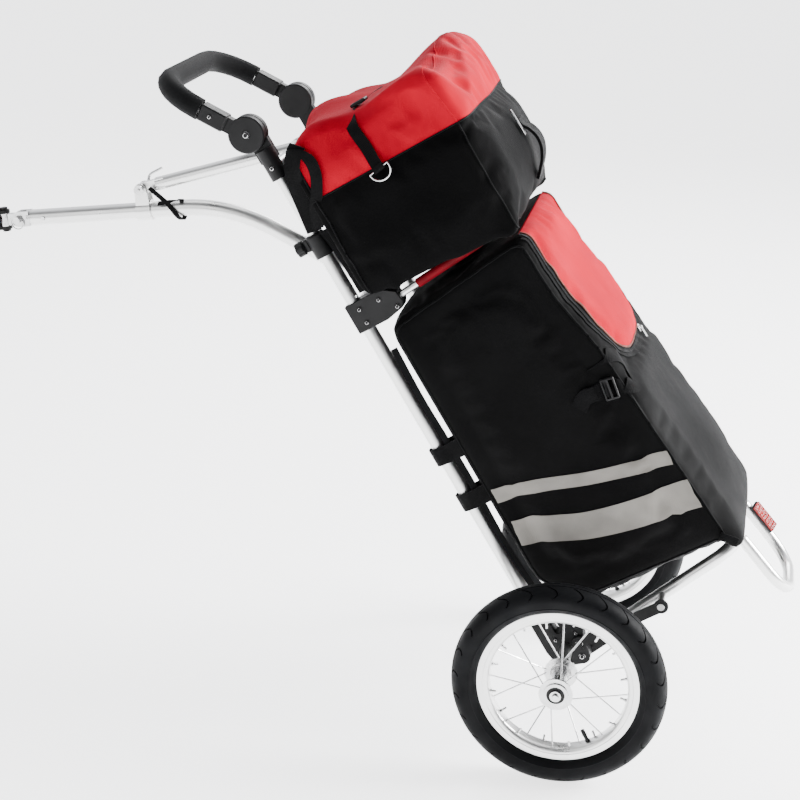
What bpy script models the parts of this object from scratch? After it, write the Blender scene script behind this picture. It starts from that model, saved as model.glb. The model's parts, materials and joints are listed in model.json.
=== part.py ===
"""Two-wheeled cargo trailer with a folding platform, a telescoping hand grip and a towing arm.

Metres, +Z up. The trailer stands as it is towed: rails leaning over the towing arm, which
points along -X, wheels on the floor at Z = 0. The left side of the trailer is on -Y.
Most sizes are given in the cart's own frame, which has its origin at the middle of the
axle, +Z up along the rails and +X square to them, towards the bags.
"""
import math

import bmesh
import bpy
from mathutils import Matrix, Vector

# Stance and clearances
LEAN = math.radians(30.5)
SEAT_GAP = 0.0003
RUNNING_GAP = 0.0003
LEFT = -1
RIGHT = 1
SIDES = ((LEFT, "left"), (RIGHT, "right"))

# Wheels
WHEEL_RADIUS = 0.150
WHEEL_Y = 0.250
TYRE_HALF_WIDTH = 0.023
TYRE_STEPS = 48
RIM_OUTER_RADIUS = 0.1125
RIM_INNER_RADIUS = 0.096
RIM_HALF_WIDTH = 0.013
RIM_FLANGE = 0.0018
RIM_BED_RADIUS = 0.1045
SPOKES = 16
SPOKE_RADIUS = 0.0011
SPOKE_SWEEP = math.radians(15)
HUB_FLANGE_RADIUS = 0.0236
HUB_FLANGE = 0.0034
HUB_FLANGE_Y = 0.0300
HUB_BARREL_RADIUS = 0.0130
HUB_BOSS_RADIUS = 0.0172
HUB_HALF_LENGTH = 0.0360
BEARING_RADIUS = 0.0125
BEARING_WIDTH = 0.0080
VALVE_ANGLE = math.radians(-63)
VALVE_LENGTH = 0.018
VALVE_RADIUS = 0.0030

# Axle
AXLE_PIN_RADIUS = 0.0060
AXLE_SLEEVE_RADIUS = 0.0090
AXLE_SLEEVE_TO_HUB = 0.0055
AXLE_SLEEVE_OUTER_Y = WHEEL_Y - HUB_HALF_LENGTH - AXLE_SLEEVE_TO_HUB
AXLE_PIN_HEAD_RADIUS = 0.0078
AXLE_PIN_HEAD = 0.0030
BUTTON_RADIUS = 0.0044
BUTTON_TRAVEL = 0.0030

# Rails and telescoping tubes
RAIL_X = -0.016
RAIL_Y = 0.133
RAIL_RADIUS = 0.0100
RAIL_WALL = 0.0015
RAIL_BOTTOM = 0.016
RAIL_TOP = 0.685
INNER_TUBE_PLAY = 0.0007
INNER_TUBE_RADIUS = RAIL_RADIUS - RAIL_WALL - INNER_TUBE_PLAY
INNER_TUBE_WALL = 0.0012
INNER_TUBE_OVERLAP = 0.140
COLLAR_RADIUS = 0.0142
COLLAR_BELOW = 0.022
COLLAR_ABOVE = 0.012
KNOB_RADIUS = 0.0105
KNOB_LENGTH = 0.013

# Axle lugs
LUG_HALF_THICKNESS = 0.012
LUG_ARM_TOP = 0.078
LUG_ARM_HALF_WIDTH = 0.0135
LUG_MIDDLE_TOP = 0.058
LUG_INNER_Y = RAIL_Y - LUG_HALF_THICKNESS
AXLE_SLEEVE_INNER_Y = LUG_INNER_Y + 0.0005
AXLE_PIN_INNER_Y = LUG_INNER_Y + 0.0015

# Handle
HANDLE_X = -0.024
HANDLE_TILT = math.radians(33.4)
DISC_RADIUS = 0.0255
SOCKET_DISC_INSET = 0.0065
SOCKET_DISC_Y = RAIL_Y - SOCKET_DISC_INSET
DISC_THICKNESS = 0.0130
SOCKET_ABOVE_RAIL = 0.100
SOCKET_BOTTOM = RAIL_TOP + SOCKET_ABOVE_RAIL
SLEEVE_RADIUS = 0.0125
SLEEVE_LENGTH = 0.044
SLEEVE_TOP = SOCKET_BOTTOM + SLEEVE_LENGTH
HANDLE_ABOVE_SOCKET = 0.073
HANDLE_Z = SOCKET_BOTTOM + HANDLE_ABOVE_SOCKET
HANDLE_TUBE_RADIUS = 0.0090
HANDLE_REACH = 0.1385
HANDLE_CORNER = 0.070
GRIP_RADIUS = 0.0155
GRIP_START = 0.0720
ARM_LENGTH = 0.0710
ARM_HALF_WIDTH = 0.0115
UPPER_CROSS_Z = SOCKET_BOTTOM + 0.017
UPPER_CROSS_RADIUS = 0.0080

# Joint plates, lower cross tube and shelf
PLATE_THICKNESS = 0.0030
PLATE_BELOW_RAIL_TOP = 0.140
PLATE_HEIGHT = 0.043
PLATE_LOW = RAIL_TOP - PLATE_BELOW_RAIL_TOP
PLATE_HIGH = PLATE_LOW + PLATE_HEIGHT
LOWER_CROSS_Z = PLATE_LOW + 0.030
LOWER_CROSS_RADIUS = 0.0100
SHELF_RADIUS = 0.0050
SHELF_ROOT_X = 0.006
SHELF_ROOT_Z = PLATE_LOW + 0.017
SHELF_FRONT_X = 0.205
SHELF_RISE = math.radians(5.6)
SHELF_CORNER = 0.035

# Platform and foot
PLATFORM_PIVOT_X = 0.0143
PLATFORM_PIVOT_Z = -0.0200
PLATFORM_RISE = math.radians(9.7)
PLATFORM_INSET = 0.028
PLATFORM_Y = RAIL_Y - PLATFORM_INSET
PLATFORM_RADIUS = 0.0095
PLATFORM_START = 0.0285
PLATFORM_FRONT = 0.273
PLATFORM_CORNER = 0.040
FOOT_Y = 0.066
FOOT_DROP = 0.120
FOOT_CORNER = 0.045
FOOT_RADIUS = 0.0085
REFLECTOR_LENGTH = 0.048
REFLECTOR_WIDTH = 0.020
REFLECTOR_DEPTH = 0.009
REFLECTOR_DROP = 0.042
LINK_ALONG = 0.142
LINK_EYE_RADIUS = 0.0105
LINK_THICKNESS = 0.0036
LINK_TO_LUG = 0.0022
LINK_Y = RAIL_Y + LUG_HALF_THICKNESS + LINK_TO_LUG + LINK_THICKNESS / 2
STUD_X = 0.0225
STUD_Z = 0.0020
STUD_RADIUS = 0.0028
HOOK_TURN = math.radians(19)
PIVOT_PIN_RADIUS = 0.0030
CLIP_THICKNESS = 0.0040
CLIP_HALF_HEIGHT = 0.0125
CLIP_EYE_RADIUS = 0.0105
CLIP_SLEEVE_START = 0.0270
CLIP_LENGTH = 0.0440
REFLECTOR_BACKING = 0.0015

# Towing arm, in a level frame with its origin on the lower cross tube
ARM_RADIUS = 0.0120
ARM_BEND_X = -0.2204
ARM_BEND_Z = 0.1076
ARM_END_X = -0.5264
ARM_END_Z = 0.0742
ARM_BEND_RADIUS = 0.25
ARM_EYE_RADIUS = 0.0165
ARM_EYE_HALF_WIDTH = 0.015
BRACKET_ALONG = 0.1790
BRACKET_HEIGHT = 0.0335
BRACKET_GAP = 0.0088
BRACKET_THICKNESS = 0.0030
SKEWER_RADIUS = 0.0025
STRUT_RADIUS = 0.0100
STRUT_EYE_RADIUS = 0.0130
STRUT_EYE_HALF_WIDTH = 0.011
STRUT_TONGUE = 0.034
SLOT_TURN = math.radians(29)

# Hitch, along the towing arm's straight run from its end
FORK_PLUG = 0.032
FORK_GAP = 0.0058
FORK_THICKNESS = 0.0045
FORK_HEIGHT = 0.0220
HITCH_PIN_X = -0.0195
HITCH_PIN_RADIUS = 0.0030
RING_RADIUS = 0.0090
RING_WIRE = 0.0009
YAW_X = -0.0440
YAW_RADIUS = 0.0090
CLAMP_START = -0.0560
POST_X = -0.0960
POST_RADIUS = 0.0138
POST_LEAN = math.radians(17)
CLAMP_HALF_WIDTH = 0.0240
CLAMP_HALF_HEIGHT = 0.0165
CLAMP_WALL = 0.0110
BOLT_RADIUS = 0.0030
BOLT_Y = 0.0195

# Bags
BAG_BACK = 0.004
BAG_TO_PLATE = 0.005
LOWER_BAG_HALF_WIDTH = 0.158
LOWER_BAG_FLOOR = 0.047
LOWER_BAG_FLOOR_X = 0.297
LOWER_BAG_FRONT_X = 0.240
UPPER_BAG_HALF_WIDTH = 0.168
UPPER_BAG_FRONT_X = 0.243
UPPER_BAG_HEIGHT = 0.257
BAG_EDGE = 0.018
RING_X = 0.122
RING_Z = PLATE_LOW + 0.1895
RING_SLOPE = math.radians(8.9)
RING_WIDTH = 0.030
RING_DROP = 0.0165
RING_BAR = 0.0012
RING_STRAP = 0.020
RING_OUT = -0.0040
BUCKLE_X = 0.238
BUCKLE_Z = 0.3245

CUTTERS = "cutters"
PARTS = "cargo_trailer"


def clear_scene():
    for obj in list(bpy.data.objects):
        bpy.data.objects.remove(obj, do_unlink=True)


def collection(name):
    made = bpy.data.collections.new(name)
    bpy.context.scene.collection.children.link(made)
    return made


def finish(name, colour, roughness, metallic):
    material = bpy.data.materials.new(name)
    material.use_nodes = True
    shader = material.node_tree.nodes["Principled BSDF"]
    shader.inputs["Base Color"].default_value = (*colour, 1.0)
    shader.inputs["Roughness"].default_value = roughness
    shader.inputs["Metallic"].default_value = metallic
    return material


def polished_aluminium():
    return finish("polished_aluminium", (0.80, 0.80, 0.78), 0.22, 1.0)


def bright_steel():
    return finish("bright_steel", (0.72, 0.72, 0.71), 0.18, 1.0)


def black_plastic():
    return finish("black_plastic", (0.018, 0.018, 0.020), 0.45, 0.0)


def black_foam():
    return finish("black_foam", (0.020, 0.021, 0.024), 0.85, 0.0)


def tyre_rubber():
    return finish("tyre_rubber", (0.030, 0.030, 0.033), 0.70, 0.0)


def black_cloth():
    return finish("black_cloth", (0.015, 0.015, 0.017), 0.90, 0.0)


def red_cloth():
    return finish("red_cloth", (0.72, 0.03, 0.03), 0.80, 0.0)


def red_reflector():
    return finish("red_reflector", (0.80, 0.05, 0.04), 0.15, 0.0)


def link(obj, where=PARTS):
    bpy.data.collections[where].objects.link(obj)
    if where == CUTTERS:
        obj.hide_render = True
        obj.display_type = "WIRE"
    return obj


def body(name, parent, at, turn=0.0):
    """An empty on a joint axis. Pieces under it keep the parent's coordinates if it isn't turned."""
    empty = bpy.data.objects.new(name, None)
    empty.empty_display_size = 0.02
    link(empty)
    empty.parent = parent
    origin = Vector(parent["drawn_from"]) if parent else Vector()
    empty.location = Vector(at) - origin
    empty.rotation_euler = (0.0, turn, 0.0)
    empty["drawn_from"] = (0.0, 0.0, 0.0) if turn or not parent else tuple(at)
    return empty


def put(obj, parent, at=(0.0, 0.0, 0.0), turn=(0.0, 0.0, 0.0)):
    """Places a piece under a body by coordinates of the frame that the body is drawn in."""
    obj.parent = parent
    obj.location = Vector(at) - Vector(parent["drawn_from"])
    obj.rotation_euler = turn
    return obj


def from_bmesh(name, work, where=PARTS):
    mesh = bpy.data.meshes.new(name)
    work.to_mesh(mesh)
    work.free()
    return link(bpy.data.objects.new(name, mesh), where)


def smooth(obj, degrees=35):
    obj.data.shade_smooth()
    obj.data.set_sharp_from_angle(angle=math.radians(degrees))
    return obj


def dress(obj, material):
    obj.data.materials.clear()
    obj.data.materials.append(material)
    return obj


def rod_shape(radius, length, sides=24, far_radius=None):
    """A cylinder or cone along +Z, from 0 to its length."""
    work = bmesh.new()
    far = radius if far_radius is None else far_radius
    lift = Matrix.Translation((0, 0, length / 2))
    bmesh.ops.create_cone(
        work, cap_ends=True, segments=sides, radius1=radius, radius2=far, depth=length, matrix=lift
    )
    return work


def rod(name, radius, start, end, sides=24, where=PARTS):
    """A round bar between two points, with its origin at the first."""
    run = Vector(end) - Vector(start)
    work = rod_shape(radius, run.length, sides)
    turn = run.to_track_quat("Z", "Y").to_matrix().to_4x4()
    work.transform(Matrix.Translation(start) @ turn)
    return from_bmesh(name, work, where)


def block(name, low, high, bevel=0.0, where=PARTS):
    """A box between two corners, its edges rounded by a Bevel."""
    low = Vector(low)
    high = Vector(high)
    work = bmesh.new()
    size = high - low
    place = Matrix.Translation((low + high) / 2) @ Matrix.Diagonal((*size, 1.0))
    bmesh.ops.create_cube(work, size=1.0, matrix=place)
    obj = from_bmesh(name, work, where)
    if bevel:
        round_edges(obj, bevel)
    return obj


def round_edges(obj, width, segments=1, degrees=30):
    edge = obj.modifiers.new("edges", "BEVEL")
    edge.width = width
    edge.segments = segments
    edge.limit_method = "ANGLE"
    edge.angle_limit = math.radians(degrees)
    return obj


def turned(name, profile, steps=24, where=PARTS):
    """A ring turned round Z from a closed profile of (radius, height), drawn outer side down."""
    work = bmesh.new()
    points = [work.verts.new((radius, 0.0, height)) for radius, height in profile]
    for here, there in zip(points, points[1:] + points[:1]):
        work.edges.new((here, there))
    obj = from_bmesh(name, work, where)
    screw = obj.modifiers.new("turn", "SCREW")
    screw.axis = "Z"
    screw.angle = math.tau
    screw.steps = steps
    screw.render_steps = steps
    screw.use_merge_vertices = True
    screw.merge_threshold = 0.00001
    screw.use_smooth_shade = False
    return obj


def ring_profile(inner, outer, low, high):
    return [(outer, high), (outer, low), (inner, low), (inner, high)]


def evaluated_mesh(obj):
    bpy.context.view_layer.update()
    graph = bpy.context.evaluated_depsgraph_get()
    return bpy.data.meshes.new_from_object(obj.evaluated_get(graph), depsgraph=graph)


def as_mesh(obj, name=None):
    """The evaluated object as a plain closed mesh, with its caps welded."""
    mesh = evaluated_mesh(obj)
    work = bmesh.new()
    work.from_mesh(mesh)
    bmesh.ops.remove_doubles(work, verts=work.verts, dist=0.00001)
    bmesh.ops.recalc_face_normals(work, faces=work.faces)
    work.to_mesh(mesh)
    work.free()
    where = obj.users_collection[0].name
    made = bpy.data.objects.new(name or obj.name, mesh)
    made.matrix_world = obj.matrix_world
    label = obj.name
    bpy.data.objects.remove(obj, do_unlink=True)
    link(made, where)
    made.name = name or label
    return made


def curve_object(name, splines, where=PARTS, sides=12, cyclic=False, caps=True):
    """Round wires or tubes on straight-edged splines: each spline is a list of (point, radius)."""
    data = bpy.data.curves.new(name, "CURVE")
    data.dimensions = "3D"
    data.bevel_depth = 1.0
    data.bevel_resolution = (sides - 4) // 2
    data.use_fill_caps = caps
    for points in splines:
        spline = data.splines.new("POLY")
        spline.points.add(len(points) - 1)
        for slot, (point, radius) in zip(spline.points, points):
            slot.co = (*point, 1.0)
            slot.radius = radius
        spline.use_cyclic_u = cyclic
    return link(bpy.data.objects.new(name, data), where)


def tube(name, path, radius, sides=12, where=PARTS):
    """A solid round bar along a path of points."""
    return as_mesh(curve_object(name, [[(point, radius) for point in path]], where, sides))


def plate(name, outline, thickness, where=PARTS):
    """A flat sheet cut to an outline of (x, z), standing in the XZ plane, centred on y = 0."""
    data = bpy.data.curves.new(name, "CURVE")
    data.dimensions = "2D"
    data.fill_mode = "BOTH"
    data.extrude = thickness / 2
    spline = data.splines.new("POLY")
    spline.points.add(len(outline) - 1)
    for slot, (x, z) in zip(spline.points, outline):
        slot.co = (x, z, 0.0, 1.0)
    spline.use_cyclic_u = True
    obj = as_mesh(link(bpy.data.objects.new(name, data), where))
    stand = Matrix.Rotation(math.radians(90), 4, "X")
    obj.data.transform(stand)
    return obj


def arc(centre, radius, start, end, steps):
    """Points of (x, z) along an arc, angles in degrees from +X towards +Z."""
    points = []
    for step in range(steps + 1):
        angle = math.radians(start + (end - start) * step / steps)
        points.append((centre[0] + radius * math.cos(angle), centre[1] + radius * math.sin(angle)))
    return points


def rounded_path(corners, radii, steps=5):
    """Points along straight runs whose corners are rounded to the radii given."""
    corners = [Vector(corner) for corner in corners]
    path = [corners[0]]
    for before, corner, after, radius in zip(corners, corners[1:], corners[2:], radii):
        back = (before - corner).normalized()
        ahead = (after - corner).normalized()
        half = back.angle(ahead) / 2
        reach = radius / math.tan(half)
        centre = corner + (back + ahead).normalized() * radius / math.sin(half)
        first = corner + back * reach - centre
        last = corner + ahead * reach - centre
        span = first.angle(last)
        for step in range(steps + 1):
            share = step / steps
            low = math.sin((1 - share) * span)
            high = math.sin(share * span)
            path.append(centre + (first * low + last * high) / math.sin(span))
    path.append(corners[-1])
    return path


def combine(target, other, operation):
    change = target.modifiers.new(operation.lower(), "BOOLEAN")
    change.operation = operation
    change.solver = "EXACT"
    change.object = other
    return target


def settle(target):
    """Applies what has been cut and joined so far, as one mesh with its seams welded."""
    mesh = evaluated_mesh(target)
    work = bmesh.new()
    work.from_mesh(mesh)
    bmesh.ops.remove_doubles(work, verts=work.verts, dist=0.000002)
    work.to_mesh(mesh)
    work.free()
    target.modifiers.clear()
    target.data = mesh
    return target


def fuse(target, *others):
    for other in others:
        settle(combine(target, other, "UNION"))
    return drop_helpers(target, others)


def cut(target, *cutters):
    for cutter in cutters:
        settle(combine(target, cutter, "DIFFERENCE"))
    return drop_helpers(target, cutters)


def drop_helpers(target, helpers):
    for helper in helpers:
        bpy.data.objects.remove(helper, do_unlink=True)
    return target


def drill(radius, start, end, sides=12):
    return rod("drill", radius, start, end, sides, CUTTERS)


def across(radius, x, z, start=-1.0, end=1.0, sides=12):
    """A helper rod along Y through (x, z)."""
    return drill(radius, (x, start, z), (x, end, z), sides)


def mirrored_span(side, near, far):
    """Two y values on one side, lowest first."""
    return tuple(sorted((side * near, side * far)))


# Wheels

def build_tyre(name, wheel, side, material):
    # The inner tube's valve is one piece with the tyre and comes through the rim.
    bead = RIM_HALF_WIDTH - RIM_FLANGE - SEAT_GAP
    seat = RIM_BED_RADIUS + SEAT_GAP
    wide = TYRE_HALF_WIDTH
    upper = [
        (WHEEL_RADIUS, 0.0),
        (WHEEL_RADIUS - 0.0016, -wide * 0.45),
        (WHEEL_RADIUS - 0.0070, -wide * 0.80),
        (WHEEL_RADIUS - 0.0180, -wide),
        (RIM_OUTER_RADIUS + 0.0080, -wide * 0.86),
        (RIM_OUTER_RADIUS + 0.0008, -bead),
        (seat, -bead),
    ]
    lower = [(radius, -height) for radius, height in reversed(upper[1:])]
    tyre = settle(turned(name, upper + lower, TYRE_STEPS))
    stem = Vector((math.cos(VALVE_ANGLE), math.sin(VALVE_ANGLE), 0.0))
    tip = RIM_INNER_RADIUS - VALVE_LENGTH
    points = [
        (stem * (seat + 0.003), VALVE_RADIUS),
        (stem * (tip + 0.006), VALVE_RADIUS),
        (stem * (tip + 0.0055), VALVE_RADIUS * 1.2),
        (stem * tip, VALVE_RADIUS * 1.1),
    ]
    fuse(tyre, as_mesh(curve_object("valve", [points], CUTTERS, 10)))
    put(tyre, wheel, (0, side * WHEEL_Y, 0), (math.radians(90), 0, 0))
    return dress(tyre, material)


def build_rim(name, wheel, side, material):
    wide = RIM_HALF_WIDTH
    bed = RIM_BED_RADIUS
    profile = [
        (RIM_OUTER_RADIUS, wide),
        (RIM_INNER_RADIUS + 0.0025, wide),
        (RIM_INNER_RADIUS, wide * 0.6),
        (RIM_INNER_RADIUS, -wide * 0.6),
        (RIM_INNER_RADIUS + 0.0025, -wide),
        (RIM_OUTER_RADIUS, -wide),
        (RIM_OUTER_RADIUS, -wide + RIM_FLANGE),
        (bed, -wide + RIM_FLANGE),
        (bed, wide - RIM_FLANGE),
        (RIM_OUTER_RADIUS, wide - RIM_FLANGE),
    ]
    profile.reverse()
    rim = settle(turned(name, profile, 48))
    stem = Vector((math.cos(VALVE_ANGLE), math.sin(VALVE_ANGLE), 0.0))
    cut(rim, drill(VALVE_RADIUS + SEAT_GAP, stem * 0.090, stem * 0.110, 12))
    put(rim, wheel, (0, side * WHEEL_Y, 0), (math.radians(90), 0, 0))
    return dress(rim, material)


def hub_profile():
    end = HUB_HALF_LENGTH
    flange = HUB_FLANGE_Y + HUB_FLANGE
    pocket = end - BEARING_WIDTH - SEAT_GAP
    bore = BEARING_RADIUS + SEAT_GAP
    throat = AXLE_PIN_RADIUS + 0.0015
    outer = [
        (HUB_BOSS_RADIUS, end),
        (HUB_BOSS_RADIUS, flange),
        (HUB_FLANGE_RADIUS, flange),
        (HUB_FLANGE_RADIUS, HUB_FLANGE_Y),
        (HUB_BARREL_RADIUS + 0.002, HUB_FLANGE_Y),
        (HUB_BARREL_RADIUS, HUB_FLANGE_Y - 0.002),
    ]
    inner = [(throat, pocket), (bore, pocket), (bore, end)]
    below = [(radius, -height) for radius, height in reversed(outer)]
    inside = [(radius, -height) for radius, height in reversed(inner)]
    return outer + below + inside + inner


def spoke_points(index):
    """One spoke, from the inner face of a hub flange to the rim."""
    outward = 1 if index % 2 == 0 else -1
    lead = 1 if index % 4 < 2 else -1
    rim_angle = math.tau * (index + 0.5) / SPOKES
    hub_angle = rim_angle + lead * SPOKE_SWEEP
    hub_radius = HUB_FLANGE_RADIUS - 0.0030
    hub = Vector((hub_radius * math.cos(hub_angle), hub_radius * math.sin(hub_angle), outward * HUB_FLANGE_Y))
    reach = RIM_INNER_RADIUS - SEAT_GAP - 0.0004
    rim = Vector((reach * math.cos(rim_angle), reach * math.sin(rim_angle), outward * 0.004))
    return [(hub, SPOKE_RADIUS), (rim, SPOKE_RADIUS)]


def build_spoked_hub(name, wheel, side, material):
    """The hub with its laced spokes, fused where each spoke hooks into a flange."""
    hub = settle(turned(name, hub_profile(), 20))
    splines = [spoke_points(index) for index in range(SPOKES)]
    fuse(hub, as_mesh(curve_object("spokes", splines, CUTTERS, 6)))
    put(hub, wheel, (0, side * WHEEL_Y, 0), (math.radians(90), 0, 0))
    return dress(hub, material)


def build_bearing(name, wheel, side, end, material):
    """A sealed ball bearing, drawn as one ring; end is 1 for the outer one."""
    inner = AXLE_PIN_RADIUS + RUNNING_GAP
    middle = side * (WHEEL_Y + end * (HUB_HALF_LENGTH - BEARING_WIDTH / 2))
    half = BEARING_WIDTH / 2
    bearing = turned(name, ring_profile(inner, BEARING_RADIUS, -half, half), 20)
    put(bearing, wheel, (0, middle, 0), (math.radians(90), 0, 0))
    return dress(bearing, material)


def build_axle_pin(name, frame, side, material):
    outer = WHEEL_Y + HUB_HALF_LENGTH + RUNNING_GAP
    tip = outer + AXLE_PIN_HEAD
    depth = BUTTON_TRAVEL + 0.006
    bore = BUTTON_RADIUS + RUNNING_GAP
    profile = [
        (0.0, tip - depth),
        (bore, tip - depth),
        (bore, tip),
        (AXLE_PIN_HEAD_RADIUS, tip),
        (AXLE_PIN_HEAD_RADIUS, outer),
        (AXLE_PIN_RADIUS, outer),
        (AXLE_PIN_RADIUS, AXLE_PIN_INNER_Y),
        (0.0, AXLE_PIN_INNER_Y),
    ]
    work = bmesh.new()
    points = [work.verts.new((radius, 0.0, height)) for radius, height in profile]
    for here, there in zip(points, points[1:]):
        work.edges.new((here, there))
    pin = from_bmesh(name, work)
    screw = pin.modifiers.new("turn", "SCREW")
    screw.axis = "Z"
    screw.angle = math.tau
    screw.steps = 20
    screw.render_steps = 20
    screw.use_merge_vertices = True
    screw.merge_threshold = 0.00001
    put(pin, frame, (0, 0, 0), (math.radians(-90 * side), 0, 0))
    return dress(pin, material)


def build_button(name, seat, side, material):
    tip = WHEEL_Y + HUB_HALF_LENGTH + RUNNING_GAP + AXLE_PIN_HEAD
    low = tip - 0.0045
    high = tip + BUTTON_TRAVEL + 0.0005
    button = rod(name, BUTTON_RADIUS, (0, side * low, 0), (0, side * high, 0), 20)
    button.data.transform(Matrix.Translation((0, -side * tip, 0)))
    put(button, seat, (0, side * tip, 0))
    round_edges(button, 0.0008, 1)
    return dress(button, material)


# Frame

def build_rail(name, frame, side, material):
    inner = RAIL_RADIUS - RAIL_WALL
    rail = turned(name, ring_profile(inner, RAIL_RADIUS, RAIL_BOTTOM, RAIL_TOP), 20)
    put(rail, frame, (RAIL_X, side * RAIL_Y, 0))
    return dress(rail, material)


def build_axle_sleeve(name, frame, side, material):
    """The stub of axle tube from the lug out to the wheel, which the axle pin slides into."""
    inner = AXLE_PIN_RADIUS + SEAT_GAP
    profile = ring_profile(inner, AXLE_SLEEVE_RADIUS, AXLE_SLEEVE_INNER_Y, AXLE_SLEEVE_OUTER_Y)
    sleeve = turned(name, profile, 20)
    put(sleeve, frame, (0, 0, 0), (math.radians(-90 * side), 0, 0))
    return dress(sleeve, material)


def lug_outline():
    """The fan of a lug: the rail's socket, a notch, the middle arm and the platform's ear."""
    left = RAIL_X - LUG_ARM_HALF_WIDTH
    right = RAIL_X + LUG_ARM_HALF_WIDTH
    notch = arc((right + 0.0045, 0.030), 0.0045, 180, 360, 4)
    ear = arc((PLATFORM_PIVOT_X, PLATFORM_PIVOT_Z), 0.0120, -10, -120, 5)
    return (
        [(left, LUG_ARM_TOP), (right, LUG_ARM_TOP)]
        + notch
        + [(right + 0.009, LUG_MIDDLE_TOP), (0.031, LUG_MIDDLE_TOP - 0.004), (0.036, 0.020), (0.030, 0.002)]
        + ear
        + [(-0.016, -0.024), (left + 0.003, -0.010), (left, 0.006)]
    )


def build_lug(name, frame, side, material):
    """The lug under a rail, with its rivets, the platform's pivot pin and the link's stud."""
    lug = plate(name, lug_outline(), 2 * LUG_HALF_THICKNESS)
    lug.data.transform(Matrix.Translation((0, side * RAIL_Y, 0)))
    round_edges(lug, 0.0015, 1)
    settle(lug)
    face = side * (RAIL_Y + LUG_HALF_THICKNESS)
    inside = side * (RAIL_Y - LUG_HALF_THICKNESS)
    clip_end = side * (clip_y() - CLIP_THICKNESS / 2 - RUNNING_GAP)
    link_end = side * (LINK_Y + LINK_THICKNESS / 2 + RUNNING_GAP)
    out = side * 0.0018
    pins = [
        across(0.0030, -0.0075, 0.0190, face - out, face + out, 12),
        across(0.0030, 0.0240, 0.0160, face - out, face + out, 12),
        across(PIVOT_PIN_RADIUS, PLATFORM_PIVOT_X, PLATFORM_PIVOT_Z, clip_end - out, inside + out, 14),
        across(0.0050, PLATFORM_PIVOT_X, PLATFORM_PIVOT_Z, clip_end - out, clip_end, 14),
        across(0.0046, PLATFORM_PIVOT_X, PLATFORM_PIVOT_Z, face - out, face + out, 14),
        across(STUD_RADIUS, STUD_X, STUD_Z, face - out, link_end + out, 14),
        across(0.0050, STUD_X, STUD_Z, link_end, link_end + out, 14),
    ]
    fuse(lug, *pins)
    socket = drill(
        RAIL_RADIUS + SEAT_GAP,
        (RAIL_X, side * RAIL_Y, RAIL_BOTTOM - SEAT_GAP),
        (RAIL_X, side * RAIL_Y, LUG_ARM_TOP + 0.01),
        24,
    )
    cut(lug, socket, across(AXLE_SLEEVE_RADIUS + SEAT_GAP, 0, 0, sides=24))
    put(lug, frame)
    return dress(lug, material)


def build_lower_cross_tube(frame, material):
    reach = RAIL_Y - RAIL_RADIUS - SEAT_GAP - PLATE_THICKNESS - SEAT_GAP
    cross = rod(
        "lower_cross_tube", LOWER_CROSS_RADIUS,
        (RAIL_X, -reach, LOWER_CROSS_Z), (RAIL_X, reach, LOWER_CROSS_Z),
    )
    put(cross, frame)
    return dress(cross, material)


def bracket_outline():
    """A shelf bracket from the side: it wraps the rail and reaches out along the shelf's tube."""
    left = RAIL_X - RAIL_RADIUS - 0.002
    return [
        (left, PLATE_HIGH), (left, PLATE_LOW), (0.019, PLATE_LOW),
        (0.046, PLATE_LOW + 0.006), (0.051, PLATE_LOW + 0.014), (0.049, PLATE_LOW + 0.030),
        (0.030, PLATE_HIGH),
    ]


def bracket_bolt_spots():
    spots = ((-0.010, 0.0310), (-0.010, 0.0100), (0.021, 0.0305), (0.040, 0.0105))
    return [(x, PLATE_LOW + height) for x, height in spots]


def build_shelf_bracket(name, frame, side, material):
    """The bracket bolted round a rail, bored for the rail and the shelf's tube."""
    half = RAIL_RADIUS + SEAT_GAP + PLATE_THICKNESS
    bracket = plate(name, bracket_outline(), 2 * half)
    bracket.data.transform(Matrix.Translation((0, side * RAIL_Y, 0)))
    round_edges(bracket, 0.0012, 1)
    settle(bracket)
    face = side * (RAIL_Y + half)
    out = side * 0.0022
    fuse(bracket, *[across(0.0034, x, z, face - out, face + out, 12) for x, z in bracket_bolt_spots()])
    rail = drill(
        RAIL_RADIUS + SEAT_GAP,
        (RAIL_X, side * RAIL_Y, PLATE_LOW - 0.01),
        (RAIL_X, side * RAIL_Y, PLATE_HIGH + 0.01),
        24,
    )
    run = Vector((math.cos(SHELF_RISE), 0, math.sin(SHELF_RISE)))
    root = Vector((SHELF_ROOT_X, side * RAIL_Y, SHELF_ROOT_Z))
    shelf = drill(SHELF_RADIUS + SEAT_GAP, root - run * SEAT_GAP, root + run * 0.07, 16)
    cut(bracket, rail, shelf)
    put(bracket, frame)
    return dress(bracket, material)


def build_shelf(frame, material):
    run = Vector((math.cos(SHELF_RISE), 0, math.sin(SHELF_RISE)))
    root = Vector((SHELF_ROOT_X, 0, SHELF_ROOT_Z))
    front = root + run * ((SHELF_FRONT_X - SHELF_ROOT_X) / math.cos(SHELF_RISE))
    left = Vector((0, -RAIL_Y, 0))
    right = Vector((0, RAIL_Y, 0))
    corners = [root + left, front + left, front + right, root + right]
    path = rounded_path(corners, [SHELF_CORNER, SHELF_CORNER], 5)
    shelf = tube("shelf_tube", path, SHELF_RADIUS, 10)
    put(smooth(shelf), frame)
    return dress(shelf, material)


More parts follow.
